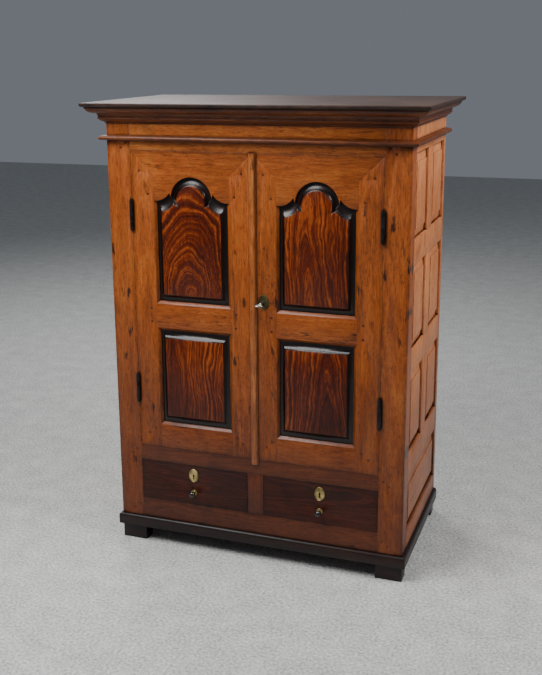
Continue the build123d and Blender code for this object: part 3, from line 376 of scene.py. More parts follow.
def mark_boards(mesh, seed, along=None, log=None):
    """Writes the three attributes that the wood shader reads. log is the board's place in its
    trunk: start, sideways, depth from the heart and lean."""
    points = np.empty(len(mesh.vertices) * 3, np.float32)
    mesh.vertices.foreach_get("co", points)
    points = points.reshape(-1, 3)
    grain, board, half = (np.zeros_like(points) for _ in range(3))
    chance = random.Random(seed)
    for members in boards_of(mesh):
        low, high = points[members].min(0), points[members].max(0)
        order = np.argsort(low - high, kind="stable")
        if along is not None:
            order = np.array([along] + [axis for axis in order if axis != along])
        middle = (low + high) / 2
        local = points[members] - middle
        spot = log or (chance.uniform(0, 9), chance.uniform(-0.05, 0.05),
                       chance.uniform(0.03, 0.12), chance.uniform(-0.08, 0.08))
        turned = local[:, order]
        turned[:, 2] += spot[3] * turned[:, 0]
        grain[members] = turned + np.array(spot[:3])
        board[members] = local
        half[members] = (high - low) / 2
    for name, values in (("grain", grain), ("board", board), ("half", half)):
        attribute = mesh.attributes.new(name, "FLOAT_VECTOR", "POINT")
        attribute.data.foreach_set("vector", values.astype(np.float32).ravel())


def smooth(mesh, angle=32):
    mesh.shade_smooth()
    mesh.set_sharp_from_angle(angle=math.radians(angle))


def plain_mesh(made, name):
    """The mesh of a finished bmesh."""
    mesh = bpy.data.meshes.new(name)
    made.to_mesh(mesh)
    made.free()
    return mesh


def placed(name, mesh, body, material, slot, *replaced):
    """Shows a mesh as a piece that rides on a body and stands for CAD nodes."""
    piece = bpy.data.objects.new(name, mesh)
    bpy.context.collection.objects.link(piece)
    if material is not None:
        mesh.materials.clear()
        mesh.materials.append(material)
    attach(piece, body)
    if replaced:
        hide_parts(*replaced)
    return piece


def eased(mesh, width, segments=2):
    """The mesh with its sharp edges rounded by width."""
    helper = bpy.data.objects.new("easing", mesh)
    bpy.context.collection.objects.link(helper)
    bevel = helper.modifiers.new("ease", "BEVEL")
    bevel.width = width
    bevel.segments = segments
    bevel.angle_limit = math.radians(35)
    bevel.use_clamp_overlap = True
    depsgraph = bpy.context.evaluated_depsgraph_get()
    made = bpy.data.meshes.new_from_object(helper.evaluated_get(depsgraph))
    bpy.data.objects.remove(helper)
    return made


def ease_node(node, slot, width=0.0011, along=None):
    """Replaces a wooden node by its eased and marked copy."""
    mesh = eased(plain_mesh(merged(node), node + "_eased"), width)
    mark_boards(mesh, node, along)
    smooth(mesh)
    return placed(node + "_boards", mesh, body_of_node[node], woods[slot], slot, node)


# %% [markdown]
# ## The carcass
# Posts, rails and mouldings keep the shapes of the model. Only their edges change.

# %% Ease the carcass and the door frames
carcass_finish = {
    "post_front_left": "front_wood", "post_front_right": "front_wood", "top_rail": "front_wood",
    "middle_rail": "front_wood", "bottom_rail": "front_wood", "drawer_muntin": "front_wood",
    "back_posts": "side_wood", "side_frame_left": "side_wood", "side_frame_right": "side_wood",
    "top_board": "top_wood", "cornice": "top_wood", "waist_moulding": "top_wood",
    "base_moulding": "base_wood", "feet": "base_wood",
    "back_boards": "inner_wood", "back_rails": "inner_wood", "cupboard_floor": "inner_wood",
    "shelves": "inner_wood", "shelf_cleats": "inner_wood", "door_stop": "inner_wood",
    "drawer_runners": "inner_wood",
}
for node, slot in carcass_finish.items():
    ease_node(node, slot)
# The top rail takes a lighter copy of the front wood: painted light, for the upper front being
# the brighter part. The middle and bottom rails and the drawer muntin take a darker copy, partly
# darker wood and partly painted shade. The lid takes a darker, greyer copy of the cornice wood,
# whose grey is partly a painted sheen.
lit_and_shaded_copies = {"middle_rail": "rail_wood", "bottom_rail": "rail_wood", "drawer_muntin": "rail_wood",
          "top_rail": "frieze_wood", "top_board": "lid_wood"}
for node, shade in lit_and_shaded_copies.items():
    bpy.data.objects[node + "_boards"].data.materials[0] = woods[shade]
for side in ("left", "right"):
    for part in ("stiles", "top_rail", "rails"):
        ease_node(f"{side}_door_{part}", "front_wood", 0.0014, 2 if part == "stiles" else 0)
    ease_node(f"{side}_drawer_front", "drawer_wood", 0.0006)
    ease_node(f"{side}_drawer_box", "inner_wood")

# %% [markdown]
# ## Raised and fielded panels
# A raised panel is one board with a moulding cut round its field. Rings that run from the frame
# to the field give the moulding: each ring is the two outlines mixed by a share, at a depth read
# from the moulding's section, so the mitres at the corners and cusps come out straight.


# %% Build a panel from two outlines and a section
def moulded_panel(outer, inner, section, back, tongue, place):
    """outer and inner are matching outlines of (across, up) points, anticlockwise from the front.
    section holds (share, depth) pairs from the frame to the field. place turns (across, depth,
    up) into a point."""
    made = bmesh.new()
    outer, inner = np.array(outer), np.array(inner)
    middle = (outer.min(0) + outer.max(0)) / 2
    outward = np.sign(outer - middle) * tongue
    rings = [(outer + outward, back), (outer + outward, section[0][1])]
    rings += [(outer * (1 - share) + inner * share, depth) for share, depth in section]
    loops = []
    for ring, depth in rings:
        loops.append([made.verts.new(place(u, depth, v)) for u, v in ring])
    for first, second in zip(loops, loops[1:]):
        for index in range(len(first)):
            made.faces.new((first[index - 1], first[index], second[index], second[index - 1]))
    made.faces.new(list(reversed(loops[0])))
    made.faces.new(loops[-1])
    bmesh.ops.recalc_face_normals(made, faces=made.faces)
    return made


def arc_points(middle, radius, start, end, count):
    """Points along an arc, from the start angle to the end angle, both in degrees."""
    angles = [math.radians(start + (end - start) * step / count) for step in range(count + 1)]
    return [(middle[0] + radius * math.cos(a), middle[1] + radius * math.sin(a)) for a in angles]


def through(first, by, last, count):
    """Points along the circle's arc from first to last that passes through by."""
    (ax, ay), (bx, by_), (cx, cy) = first, by, last
    d = 2 * (ax * (by_ - cy) + bx * (cy - ay) + cx * (ay - by_))
    ux = ((ax * ax + ay * ay) * (by_ - cy) + (bx * bx + by_ * by_) * (cy - ay)
          + (cx * cx + cy * cy) * (ay - by_)) / d
    uy = ((ax * ax + ay * ay) * (cx - bx) + (bx * bx + by_ * by_) * (ax - cx)
          + (cx * cx + cy * cy) * (bx - ax)) / d
    radius = math.hypot(ax - ux, ay - uy)
    angles = [math.degrees(math.atan2(y - uy, x - ux)) for x, y in (first, by, last)]
    while angles[1] - angles[0] > 180:
        angles[1] -= 360
    while angles[1] - angles[0] < -180:
        angles[1] += 360
    while angles[2] - angles[1] > 180:
        angles[2] -= 360
    while angles[2] - angles[1] < -180:
        angles[2] += 360
    return arc_points((ux, uy), radius, angles[0], angles[2], count)


def straight(first, last, count):
    """Points along a straight run, without the last one."""
    return [(first[0] + (last[0] - first[0]) * step / count,
             first[1] + (last[1] - first[1]) * step / count) for step in range(count)]


def arched(half, bottom, shoulder, hollow, tip, notch, radius, crown):
    """A broken-arch outline about x = 0: sill, side, hollow shoulder, cusp and round crown."""
    arch_middle = (0.0, crown - radius)
    start = math.degrees(math.asin((notch[1] - arch_middle[1]) / radius))
    corner = (half, shoulder)
    right_run = straight((0, bottom), (half, bottom), 4) + straight((half, bottom), corner, 8)
    right_run += through(corner, hollow, tip, 12)[:-1] + straight(tip, notch, 3)
    right_run += arc_points(arch_middle, radius, start, 90, 22)
    left_run = [(-x, z) for x, z in reversed(right_run[:-1])][:-1]
    return right_run + left_run


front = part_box("post_front_right")[0].y
MM = 0.001
print("front faces at y =", round(front, 5))

# %% [markdown]
# ## The door panels
# The upper panels' tops follow the broken arch of the rail above. The border is flat and dark next
# to the frame, then a hollow rises steeply to the field, which stands a little in front of the
# frame. The outlines are drawn about the panel's own centre line.

# %% Make the four door panels
clear_left, clear_right = 0.074, 0.2837
centre_line = (clear_left + clear_right) / 2
clear_half = (clear_right - clear_left) / 2
field_half = 0.08685
border_section = [(0.0, 9.4), (0.02, 9.4), (0.30, 9.2), (0.38, 8.9), (0.46, 8.3), (0.54, 7.4),
                  (0.62, 6.2), (0.70, 4.7), (0.78, 2.9), (0.85, 1.1), (0.90, -0.3), (0.94, -0.9),
                  (0.955, -1.0), (0.96, -2.2), (0.975, -2.8), (1.0, -3.0)]
border_section = [(share, depth * MM) for share, depth in border_section]


def door_point(mirror):
    def place(u, depth, v):
        return (mirror * (centre_line + u), front + depth, v)
    return place


upper_outer = arched(clear_half, 0.7483, 1.0338, (0.084, 1.0385), (0.0645, 1.0560),
                     (0.0612, 1.0478), 0.0607, 1.1010)
upper_inner = arched(field_half, 0.7696, 1.0028, (0.0660, 1.0103), (0.0510, 1.0248),
                     (0.0425, 1.0190), 0.0415, 1.0768)


def box_outline(half, low, high):
    """A rectangle with as many points on each side as the section needs."""
    corners = [(-half, low), (half, low), (half, high), (-half, high)]
    run = []
    for first, last in zip(corners, corners[1:] + corners[:1]):
        run += straight(first, last, 3)
    return run


def finish_panel(name, made, node, log):
    """Sends the ring faces to the border's finish and the field to its own."""
    for face in made.faces:
        face.material_index = 0 if in_field(face) else 1
    mesh = plain_mesh(made, name)
    mark_boards(mesh, node, 2, log)
    smooth(mesh, 50)
    mesh.materials.append(woods["rosewood"])
    mesh.materials.append(woods["ebony"])
    return placed(name, mesh, body_of_node[node], None, "rosewood", node)


def in_field(face):
    """The field's rounded rim keeps the field's own wood."""
    return all(vertex.co.y < front - 0.0021 for vertex in face.verts)


logs = {"left_door_upper_panel": (0.3, 0.008, 0.075, 0.42),
        "right_door_upper_panel": (2.1, 0.020, 0.030, 0.11),
        "left_door_lower_panel": (4.4, 0.060, 0.030, 0.05),
        "right_door_lower_panel": (6.2, -0.030, 0.040, 0.12)}


for side, mirror in (("right", 1), ("left", -1)):
    for part, outer, inner in (
            ("upper_panel", upper_outer, upper_inner),
            ("lower_panel", box_outline(clear_half, 0.3853, 0.6629),
             box_outline(field_half, 0.4086, 0.6396))):
        made = moulded_panel(outer, inner, border_section, 17.3 * MM, 5 * MM,
                             door_point(mirror))
        node = f"{side}_door_{part}"
        finish_panel(node + "_fielded", made, node, logs[node])
print("door panels made")

# %% [markdown]
# ## The side panels
# Each side has seven smaller raised panels. Their fields lie just behind the frame, with a small
# step round them that catches the light.

# %% Make the side panels
side_section = [(0.0, 9.5), (0.02, 9.5), (0.25, 8.6), (0.5, 6.9), (0.75, 5.0), (0.93, 3.7),
                (0.94, 2.4), (0.955, 1.7), (1.0, 1.4)]
side_section = [(share, depth * MM) for share, depth in side_section]
columns = ((0.050, 0.2195), (0.2835, 0.453))
rows = ((0.359, 0.583), (0.652, 0.883), (0.952, 1.177))
side_openings = [(y0, y1, z0, z1) for z0, z1 in rows for y0, y1 in columns]
side_openings.append((0.050, 0.453, 0.131, 0.284))
side_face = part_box("post_front_right")[1].x
for side, mirror in (("right", 1), ("left", -1)):
    made_panels = []
    for y0, y1, z0, z1 in side_openings:
        half, tall = (y1 - y0) / 2, (z1 - z0) / 2
        centre = ((y0 + y1) / 2, (z0 + z1) / 2)

        def place(u, depth, v, centre=centre, mirror=mirror):
            return (mirror * (side_face - depth), front + centre[0] + u, centre[1] + v)

        play = 0.5 * MM
        outer = box_outline(half - play, -tall + play, tall - play)
        inner = box_outline(half - 0.026, -tall + 0.026, tall - 0.026)
        made = moulded_panel(outer, inner, side_section, 17.3 * MM, 5 * MM, place)
        made_panels.append(plain_mesh(made, "panel"))
    whole = bmesh.new()
    for mesh in made_panels:
        whole.from_mesh(mesh)
    mesh = plain_mesh(whole, f"side_panels_{side}_fielded")
    mark_boards(mesh, f"side{side}")
    smooth(mesh, 40)
    node = f"side_panels_{side}"
    placed(node + "_fielded", mesh, body_of_node[node], woods["side_wood"], "side_wood", node)
print("side panels made")

# %% [markdown]
# ## Pegs
# The frame and the doors are held by oak pegs whose heads end flush with the front. They are all
# one shape, so a Geometry Nodes tree puts a short turned peg at each place, turns each by a random
# angle, and makes the result real.


# %% The tree that sets pegs and pins
def stud_tree(name, material):
    """A tree that stands a chamfered stud on every point of a mesh, pointing at the viewer."""
    tree = bpy.data.node_groups.new(name, "GeometryNodeTree")
    for label in ("Geometry", "Radius", "Length", "Chamfer", "Seed"):
        kind = {"Geometry": "NodeSocketGeometry", "Seed": "NodeSocketInt"}.get(
            label, "NodeSocketFloat")
        tree.interface.new_socket(label, in_out="INPUT", socket_type=kind)
    tree.interface.new_socket("Geometry", in_out="OUTPUT", socket_type="NodeSocketGeometry")
    bench = Bench(tree)
    group_in = tree.nodes.new("NodeGroupInput")
    geometry, radius, length, chamfer, seed = [Value(bench, o) for o in group_in.outputs[:5]]
    shank = bench.node("GeometryNodeMeshCone", {}, {
        "Vertices": 14, "Side Segments": 1, "Radius Top": radius, "Radius Bottom": radius,
        "Depth": length - chamfer})
    head = bench.node("GeometryNodeMeshCone", {}, {
        "Vertices": 14, "Side Segments": 1, "Radius Top": radius - chamfer,
        "Radius Bottom": radius, "Depth": chamfer})
    lift = bench.node("ShaderNodeCombineXYZ", {}, {2: length - chamfer})
    head = bench.node("GeometryNodeTransform", {}, {"Geometry": head, "Translation": lift})
    both = tree.nodes.new("GeometryNodeJoinGeometry")
    for part in (head, shank):
        tree.links.new(part.socket, both.inputs[0])
    stud = bench.node("GeometryNodeMergeByDistance", {}, {
        "Geometry": Value(bench, both.outputs[0]), "Distance": 0.00001})
    spin = bench.node("FunctionNodeRandomValue", {"data_type": "FLOAT"},
                      {2: 0.0, 3: 6.283, "Seed": seed}, 1)
    turn = bench.node("ShaderNodeCombineXYZ", {}, {0: math.pi / 2, 2: 0.0, 1: 0.0})
    stood = bench.node("GeometryNodeInstanceOnPoints", {}, {
        "Points": geometry, "Instance": stud, "Rotation": turn})
    own_axis = bench.node("ShaderNodeCombineXYZ", {}, {2: spin})
    stood = bench.node("GeometryNodeRotateInstances", {}, {
        "Instances": stood, "Rotation": own_axis, "Local Space": True})
    real = bench.node("GeometryNodeRealizeInstances", {}, {"Geometry": stood})
    done = bench.node("GeometryNodeSetMaterial", {}, {"Geometry": real, "Material": material})
    group_out = tree.nodes.new("NodeGroupOutput")
    tree.links.new(done.socket, group_out.inputs[0])
    return tree


def set_studs(name, points, tree, **sizes):
    """The plain mesh of studs at the points, which are the middles of their back ends."""
    seeds = bpy.data.meshes.new(name)
    seeds.from_pydata(points, [], [])
    helper = bpy.data.objects.new(name, seeds)
    bpy.context.collection.objects.link(helper)
    modifier = helper.modifiers.new("studs", "NODES")
    modifier.node_group = tree
    for item in tree.interface.items_tree:
        if item.in_out == "INPUT" and item.name in sizes:
            modifier[item.identifier] = sizes[item.name]
    depsgraph = bpy.context.evaluated_depsgraph_get()
    mesh = bpy.data.meshes.new_from_object(helper.evaluated_get(depsgraph))
    bpy.data.objects.remove(helper)
    return mesh


peg_wood = wood("peg_wood", (rgb(40, 18, 8), rgb(96, 46, 18), rgb(130, 70, 30)), ring=0.003,
                gloss=0.5, coat=0.0, dirt_and_shade=0.6)
peg_tree = stud_tree("pegs", peg_wood)


def islands_middles(node):
    """The middle of each separate solid in a node."""
    made = merged(node)
    mesh = plain_mesh(made, "count")
    points = np.array([vertex.co for vertex in mesh.vertices])
    return [(points[m].min(0) + points[m].max(0)) / 2 for m in boards_of(mesh)]


for node in ("frame_pegs", "left_door_pegs", "right_door_pegs"):
    low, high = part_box(node)
    backs = [(middle[0], high.y, middle[2]) for middle in islands_middles(node)]
    mesh = set_studs(node + "_round", backs, peg_tree, Radius=3.6 * MM, Length=high.y - low.y,
                     Chamfer=0.5 * MM, Seed=11)
    mark_boards(mesh, node, 1)
    smooth(mesh, 40)
    placed(node + "_round", mesh, body_of_node[node], None, "front_wood", node)
    print(node, len(backs), "pegs")

# %% [markdown]
# ## The meeting strip
# A half-round bead between two small flats covers the gap where the doors meet.

# %% Draw the strip's section along its length
low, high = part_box("right_door_meeting_strip")
back = high.y - 0.02 * MM
crest = low.y
section = [(low.x, front - 0.42 * MM), (low.x, front - 2.6 * MM),
           (low.x + 1.5 * MM, front - 3.0 * MM)]
bead_middle = (low.x + high.x) / 2
bead_half = (high.x - low.x) / 2 - 2.2 * MM
for step in range(17):
    angle = math.pi - math.pi * step / 16
    flat = math.copysign(abs(math.cos(angle)) ** 0.55, math.cos(angle))
    section.append((bead_middle + bead_half * flat,
                    front - 3.4 * MM + (crest - front + 3.4 * MM) * math.sin(angle) ** 0.6))
section += [(high.x - 1.5 * MM, front - 3.0 * MM), (high.x, front - 2.6 * MM), (high.x, back),
            (0.0006, back), (0.0006, front - 0.42 * MM)]
made = bmesh.new()
levels = [low.z, low.z + 0.002] + [low.z + (high.z - low.z) * step / 8 for step in range(1, 9)]
loops = []
for index, level in enumerate(levels):
    pinch = 0.0015 if index == 0 else 0.0
    loops.append([made.verts.new((x + (bead_middle - x) * pinch / 0.01,
                                  max(y, crest + pinch) if index == 0 else y, level))
                  for x, y in section])
for first, second in zip(loops, loops[1:]):
    for index in range(len(first)):
        made.faces.new((first[index - 1], first[index], second[index], second[index - 1]))
made.faces.new(list(reversed(loops[0])))
made.faces.new(loops[-1])
bmesh.ops.recalc_face_normals(made, faces=made.faces)
mesh = plain_mesh(made, "meeting_strip_bead")
mark_boards(mesh, "strip", 2)
smooth(mesh, 35)
strip_wood = wood("strip_wood", (rgb(84, 38, 14), rgb(166, 92, 42), rgb(206, 138, 78)), ring=0.006,
                  figure=0.2, mottle=0.6, knots=0.6, gloss=0.34, coat=0.3, wear=0.9, foot=0.5)
placed("meeting_strip_bead", mesh, "right_door", strip_wood, "front_wood",
       "right_door_meeting_strip")
print("strip", round(high.z - low.z, 3), "m long")

# %% [markdown]
# ## Metals
# The hinges and locks are iron, the escutcheons cast brass with a brown-green patina in their
# hollows, and the key bright steel. Patina and rust are slow noise; scratches are fine noise drawn
# out along one way.


# %% The metal shader
def metal(name, bright, dull, crust, rough=0.35, crusted=0.5, metallic=1.0, bump=0.3):
    """bright and dull are the metal's two tones, crust the patina or rust in its hollows."""
    material, bench, shader = new_material(name)
    place = bench.node("ShaderNodeTexCoord", {}, {}, 3)
    cloud = bench.noise(bench.stretch(place, (60.0, 60.0, 60.0)), 4.0)
    grit = bench.noise(bench.stretch(place, (420.0, 420.0, 420.0)), 4.0)
    scratch = bench.noise(bench.stretch(place, (900.0, 900.0, 70.0)), 2.0)
    tone = bench.mix(bench.step(cloud, 0.36, 0.64), bright, dull)
    open_air = bench.node("ShaderNodeAmbientOcclusion", {"samples": 6}, {"Distance": 0.003}, 1)
    hollow = 1.0 - bench.step(open_air, 0.55, 0.97)
    patina = bench.step(cloud * 0.5 + grit * 0.5 + 0.5 * hollow, 0.62 - 0.2 * crusted,
                        0.80 - 0.2 * crusted)
    tone = bench.mix(patina * (0.35 + 0.65 * crusted), tone, crust)
    roughness = rough + 0.35 * patina + 0.15 * (scratch - 0.5) + 0.10 * (grit - 0.5)
    height = grit * 0.6 + scratch * 0.4
    relief = bench.node("ShaderNodeBump", {}, {"Strength": bump, "Distance": 0.0003,
                                               "Height": height})
    connect(bench, shader, {"Base Color": tone, "Roughness": roughness, "Normal": relief,
                            "Metallic": metallic - 0.6 * metallic * patina})
    return material


brass = metal("old_brass", rgb(206, 184, 128), rgb(150, 132, 80), rgb(70, 64, 40), rough=0.38,
              crusted=0.55)
dark_brass = metal("lock_plate_brass", rgb(120, 110, 70), rgb(84, 78, 48), rgb(36, 36, 24),
                   rough=0.42, crusted=0.7)
iron = metal("forged_iron", rgb(58, 60, 62), rgb(38, 39, 40), rgb(34, 26, 22), rough=0.5,
             crusted=0.4, bump=0.5)
steel = metal("key_steel_bright", rgb(206, 202, 196), rgb(150, 146, 140), rgb(84, 76, 66),
              rough=0.28, crusted=0.3)
for node, material in {
        "hinge_frame_leaves": iron, "hinge_pins": iron, "left_door_hinge_leaves": iron,
        "right_door_hinge_leaves": iron, "left_door_bolt_plate": iron,
        "left_door_foot_bolt": iron, "left_door_lock_keep": iron,
        "right_door_lock_case": iron, "right_door_lock_bolt": steel,
        "left_drawer_lock": iron, "right_drawer_lock": iron, "left_drawer_bolt": steel,
        "right_drawer_bolt": steel}.items():
    nodes[node].data.materials.clear()
    nodes[node].data.materials.append(material)
print("metals ready")


# %% [markdown]
# ## Turned and cast fittings
# A knob is turned on a lathe, so its mesh is a section spun round an axis. An escutcheon is an
# oval casting with a raised rim, pierced by a keyhole: rings run from its edge to the hole.

# %% Lathe work and castings
def lathe(section, centre, turns=40):
    """A closed turned shape about a line towards the viewer. section holds (radius, out) pairs
    and starts and ends on the axis."""
    made = bmesh.new()
    rings = []
    for radius, out in section:
        if radius < 1e-6:
            rings.append([made.verts.new((centre[0], centre[1] - out, centre[2]))])
            continue
        rings.append([made.verts.new((centre[0] + radius * math.cos(2 * math.pi * t / turns),
                                      centre[1] - out,
                                      centre[2] + radius * math.sin(2 * math.pi * t / turns)))
                      for t in range(turns)])
    for first, second in zip(rings, rings[1:]):
        for t in range(turns):
            a, b = first[t % len(first)], first[(t + 1) % len(first)]
            c, d = second[(t + 1) % len(second)], second[t % len(second)]
            made.faces.new(list(dict.fromkeys((a, b, c, d))))
    bmesh.ops.recalc_face_normals(made, faces=made.faces)
    return made


def keyhole_radius(angle, bow=3.2 * MM, slot=1.6 * MM, drop=11.5 * MM):
    """How far the keyhole's edge is from its middle: a round bow with a slot below."""
    down = -math.pi / 2
    off = math.atan2(math.sin(angle - down), math.cos(angle - down))
    reach = bow
    if abs(off) < math.pi / 2 - 0.01:
        reach = max(reach, min(drop / math.cos(off), slot / max(abs(math.sin(off)), 1e-6)))
    return reach


def oval_plate(name, centre, wide, tall, thick, body, material, node):
    """An escutcheon: outer edge, rounded rim, dished middle and a raised lip at the keyhole."""
    made = bmesh.new()
    angles = [2 * math.pi * t / 96 for t in range(96)]
    section = [(0.0, 0.0), (0.0, 0.55), (0.03, 0.85), (0.08, 1.0), (0.13, 0.92), (0.17, 0.6),
               (0.20, 0.42), (0.5, 0.36), (0.80, 0.42), (0.86, 0.62), (0.93, 0.66), (1.0, 0.5),
               (1.0, 0.0)]
    loops = []
    for share, height in section:
        loop = []
        for angle in angles:
            edge = 1 / math.hypot(math.cos(angle) / wide, math.sin(angle) / tall)
            hole = keyhole_radius(angle)
            radius = edge * (1 - share) + hole * share
            loop.append(made.verts.new((centre[0] + radius * math.cos(angle),
                                        centre[1] - height * thick,
                                        centre[2] + radius * math.sin(angle))))
        loops.append(loop)
    for first, second in zip(loops, loops[1:] + loops[:1]):
        for t in range(len(angles)):
            made.faces.new((first[t - 1], first[t], second[t], second[t - 1]))
    bmesh.ops.recalc_face_normals(made, faces=made.faces)
    mesh = plain_mesh(made, name)
    smooth(mesh, 40)
    return placed(name, mesh, body, material, "brass", node)


for side in ("left", "right"):
    low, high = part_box(f"{side}_drawer_escutcheon")
    oval_plate(f"{side}_drawer_oval_plate", ((low.x + high.x) / 2, front, (low.z + high.z) / 2),
               (high.x - low.x) / 2, (high.z - low.z) / 2, high.y - low.y, f"{side}_drawer",
               brass, f"{side}_drawer_escutcheon")
low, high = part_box("right_door_escutcheon")
oval_plate("door_oval_plate", ((low.x + high.x) / 2, front, (low.z + high.z) / 2),
           (high.x - low.x) / 2, (high.z - low.z) / 2, high.y - low.y, "right_door", dark_brass,
           "right_door_escutcheon")
print("three escutcheons")

# %% Knobs: a brass rosette and a black pear
black_horn, bench, shader = new_material("black_horn")
place = bench.node("ShaderNodeTexCoord", {}, {}, 3)
cloud = bench.noise(bench.stretch(place, (90.0, 260.0, 90.0)), 4.0)
scuff = bench.noise(bench.stretch(place, (700.0, 700.0, 700.0)), 3.0)
tone = bench.mix(bench.step(cloud, 0.4, 0.7), rgb(20, 15, 14), rgb(44, 30, 24))
relief = bench.node("ShaderNodeBump", {}, {"Strength": 0.15, "Distance": 0.0002,
                                           "Height": scuff})
connect(bench, shader, {"Base Color": tone, "Roughness": 0.16 + 0.22 * scuff, "Normal": relief,
                        "Coat Weight": 0.6 * cloud + 0.3})
for side in ("left", "right"):
    node = f"{side}_drawer_knob"
    low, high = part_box(node)
    centre = ((low.x + high.x) / 2, front, (low.z + high.z) / 2)
    proud = front - low.y
    spigot = high.y - front
    rosette = [(0, 0), (9.0, 0), (9.0, 0.7), (8.4, 1.5), (7.4, 1.7), (6.8, 1.3), (5.6, 1.4),
               (4.8, 2.3), (4.0, 2.6), (0, 2.6)]
    made = lathe([(r * MM, out * MM) for r, out in rosette], centre)
    mesh = plain_mesh(made, "rosette")
    smooth(mesh, 40)
    placed(f"{side}_knob_rosette", mesh, f"{side}_drawer", brass, "brass", node)
    pear = [(0, -spigot / MM), (2.8, -spigot / MM), (2.8, 2.4), (3.6, 3.0), (3.4, 5.0),
            (3.7, 7.0), (4.8, 8.8), (6.6, 10.6), (8.3, 12.8), (9.3, 15.2), (9.5, 17.4),
            (8.9, 19.8), (7.4, 22.2), (5.0, 24.2), (2.4, 25.2), (0, 25.5)]
    scale = proud / (25.5 * MM)
    made = lathe([(r * MM, out * MM * (scale if out > 0 else 1)) for r, out in pear], centre)
    mesh = plain_mesh(made, "pear")
    smooth(mesh, 60)
    placed(f"{side}_knob_pear", mesh, f"{side}_drawer", black_horn, "ebony", node)
print("two knobs")


# %% [markdown]
# ## The key
# A cast oval bow, a turned shank with a collar that stops at the plate, and a flat bit with a ward
# cut. The bow is a ring swept round an oval, since a flat washer would look stamped.

# %% The key: bow, shank and bit
low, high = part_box("right_door_key")
key_x, key_z = (low.x + high.x) / 2, (low.z + high.z) / 2
bow_half = (13.0 * MM, 10.5 * MM)
bow_wire = (2.0 * MM, 1.8 * MM)
bow_swell = 0.28
bit_length = 12.0 * MM
bit_half_thick = 1.3 * MM
ward_low, ward_high = 4.6 * MM, 6.8 * MM
bow_y = low.y + bow_half[1]
around, section_sides = 48, 12
made = bmesh.new()
loops = []
for t in range(around):
    turn = 2 * math.pi * t / around
    loop = []
    for s in range(section_sides):
        roll = 2 * math.pi * s / section_sides
        wide = 1 + bow_swell * max(0.0, math.sin(turn)) ** 3
        reach = bow_wire[0] * math.cos(roll)
        inward = bow_wire[0] * (wide - 1) * (1 - math.cos(roll))
        loop.append(made.verts.new((
            key_x + (bow_half[0] - bow_wire[0] + reach - inward) * math.cos(turn),
            bow_y + (bow_half[1] - bow_wire[0] + reach - inward) * math.sin(turn),
            key_z + bow_wire[1] * math.sin(roll))))
    loops.append(loop)
for t in range(around):
    for s in range(section_sides):
        made.faces.new((loops[t - 1][s - 1], loops[t - 1][s], loops[t][s], loops[t][s - 1]))
bmesh.ops.recalc_face_normals(made, faces=made.faces)
bow_mesh = plain_mesh(made, "bow")
shank_out = (front - (bow_y + bow_half[1] - 2.5 * MM)) / MM
tip_out = (front - high.y) / MM
collar_out = shank_out - 5.5
shank = [(0, tip_out), (2.2, tip_out), (2.9, tip_out + 0.8), (2.9, collar_out - 2.5),
         (3.4, collar_out - 2.4), (4.3, collar_out - 2.0), (4.5, collar_out - 1.2),
         (4.3, collar_out - 0.4), (3.3, collar_out), (2.9, collar_out + 0.7),
         (2.7, shank_out - 1.8), (3.4, shank_out - 0.8), (3.0, shank_out), (0, shank_out)]
shank_mesh = plain_mesh(lathe([(r * MM, o * MM) for r, o in shank], (key_x, front, key_z), 32),
                        "shank")
bit_high = high.y - 1.0 * MM
bit_low = bit_high - bit_length
made = bmesh.new()
outline = [(1.5, bit_low), (10.3, bit_low), (10.3, bit_low + ward_low), (7.6, bit_low + ward_low),
           (7.6, bit_low + ward_high), (10.3, bit_low + ward_high), (10.3, bit_high),
           (1.5, bit_high)]
flats = [[made.verts.new((key_x + out * MM, y, key_z + side * bit_half_thick)) for out, y in outline]
         for side in (-1, 1)]
made.faces.new(flats[0])
made.faces.new(flats[1])
for t in range(len(outline)):
    made.faces.new((flats[0][t - 1], flats[0][t], flats[1][t], flats[1][t - 1]))
bmesh.ops.recalc_face_normals(made, faces=made.faces)
bit_mesh = eased(plain_mesh(made, "bit"), 0.3 * MM)
made = bmesh.new()
for mesh in (bow_mesh, shank_mesh, bit_mesh):
    made.from_mesh(mesh)
key_mesh = plain_mesh(made, "key")
smooth(key_mesh, 40)
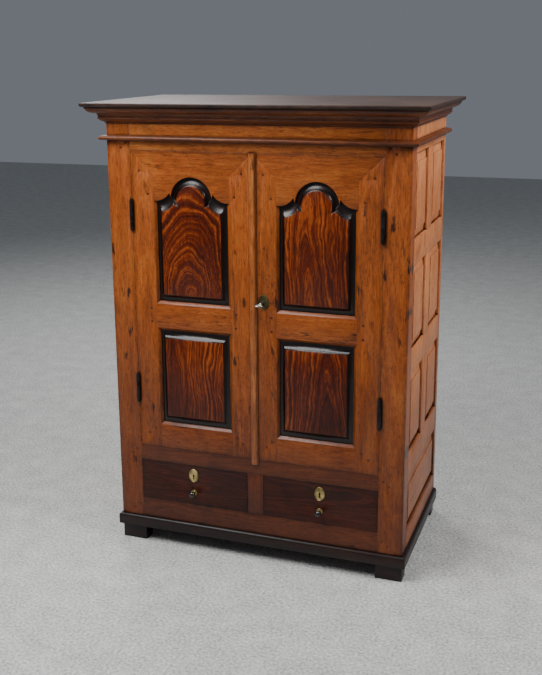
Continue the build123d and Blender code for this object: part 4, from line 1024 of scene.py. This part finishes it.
placed("door_key_bow_and_shank", key_mesh, "door_key", steel, "key_steel", "right_door_key")
print("key:", len(key_mesh.polygons), "faces")

# %% [markdown]
# ## The studio
# A pale floor, and large soft lights from above and in front: the upper half of a tall piece is
# nearer to them, so it is the brighter half.

# %% Floor, lights and surroundings
floor_mesh = bpy.data.meshes.new("floor")
floor_mesh.from_pydata([(-9, -9, 0), (9, -9, 0), (9, 9, 0), (-9, 9, 0)], [], [(0, 1, 2, 3)])
floor = bpy.data.objects.new("floor", floor_mesh)
bpy.context.collection.objects.link(floor)
material, bench, shader = new_material("pale_floor")
place = bench.node("ShaderNodeTexCoord", {}, {}, 3)
pile = bench.noise(bench.stretch(place, (130.0, 130.0, 130.0)), 6.0)
shade = bench.noise(bench.stretch(place, (14.0, 14.0, 14.0)), 3.0)
tint = bench.ramp(0.8 * pile + 0.2 * shade,
                  [(0.34, rgb(150, 150, 148)), (0.66, rgb(216, 216, 213))])
relief = bench.node("ShaderNodeBump", {}, {"Strength": 0.9, "Distance": 0.006, "Height": pile})
connect(bench, shader, {"Base Color": tint, "Roughness": 0.95, "Normal": relief})
floor_mesh.materials.append(material)

lamps = {
    "overhead": ((-0.75, -1.15, 2.40), (-0.05, -0.40, 0.2), 1.2, 64.0),
    "side": ((1.75, -0.25, 2.25), (0.45, 0.0, 0.9), 0.8, 46.0),
    "back": ((-1.7, 2.2, 3.1), (0.0, 0.2, 0.7), 1.3, 60.0),
}
for name, (position, target, size, power) in lamps.items():
    lamp = bpy.data.lights.new(name, "AREA")
    lamp.energy = power
    lamp.shape = "SQUARE"
    lamp.size = size
    holder = bpy.data.objects.new(name, lamp)
    holder.location = position
    holder.rotation_euler = (Vector(target) - Vector(position)).to_track_quat("-Z", "Y").to_euler()
    bpy.context.collection.objects.link(holder)
world = bpy.data.worlds.new("studio")
world.use_nodes = True
world.node_tree.nodes["Background"].inputs["Color"].default_value = (0.60, 0.66, 0.74, 1)
world.node_tree.nodes["Background"].inputs["Strength"].default_value = 0.25
bpy.context.scene.world = world
print(len(lamps), "lamps")
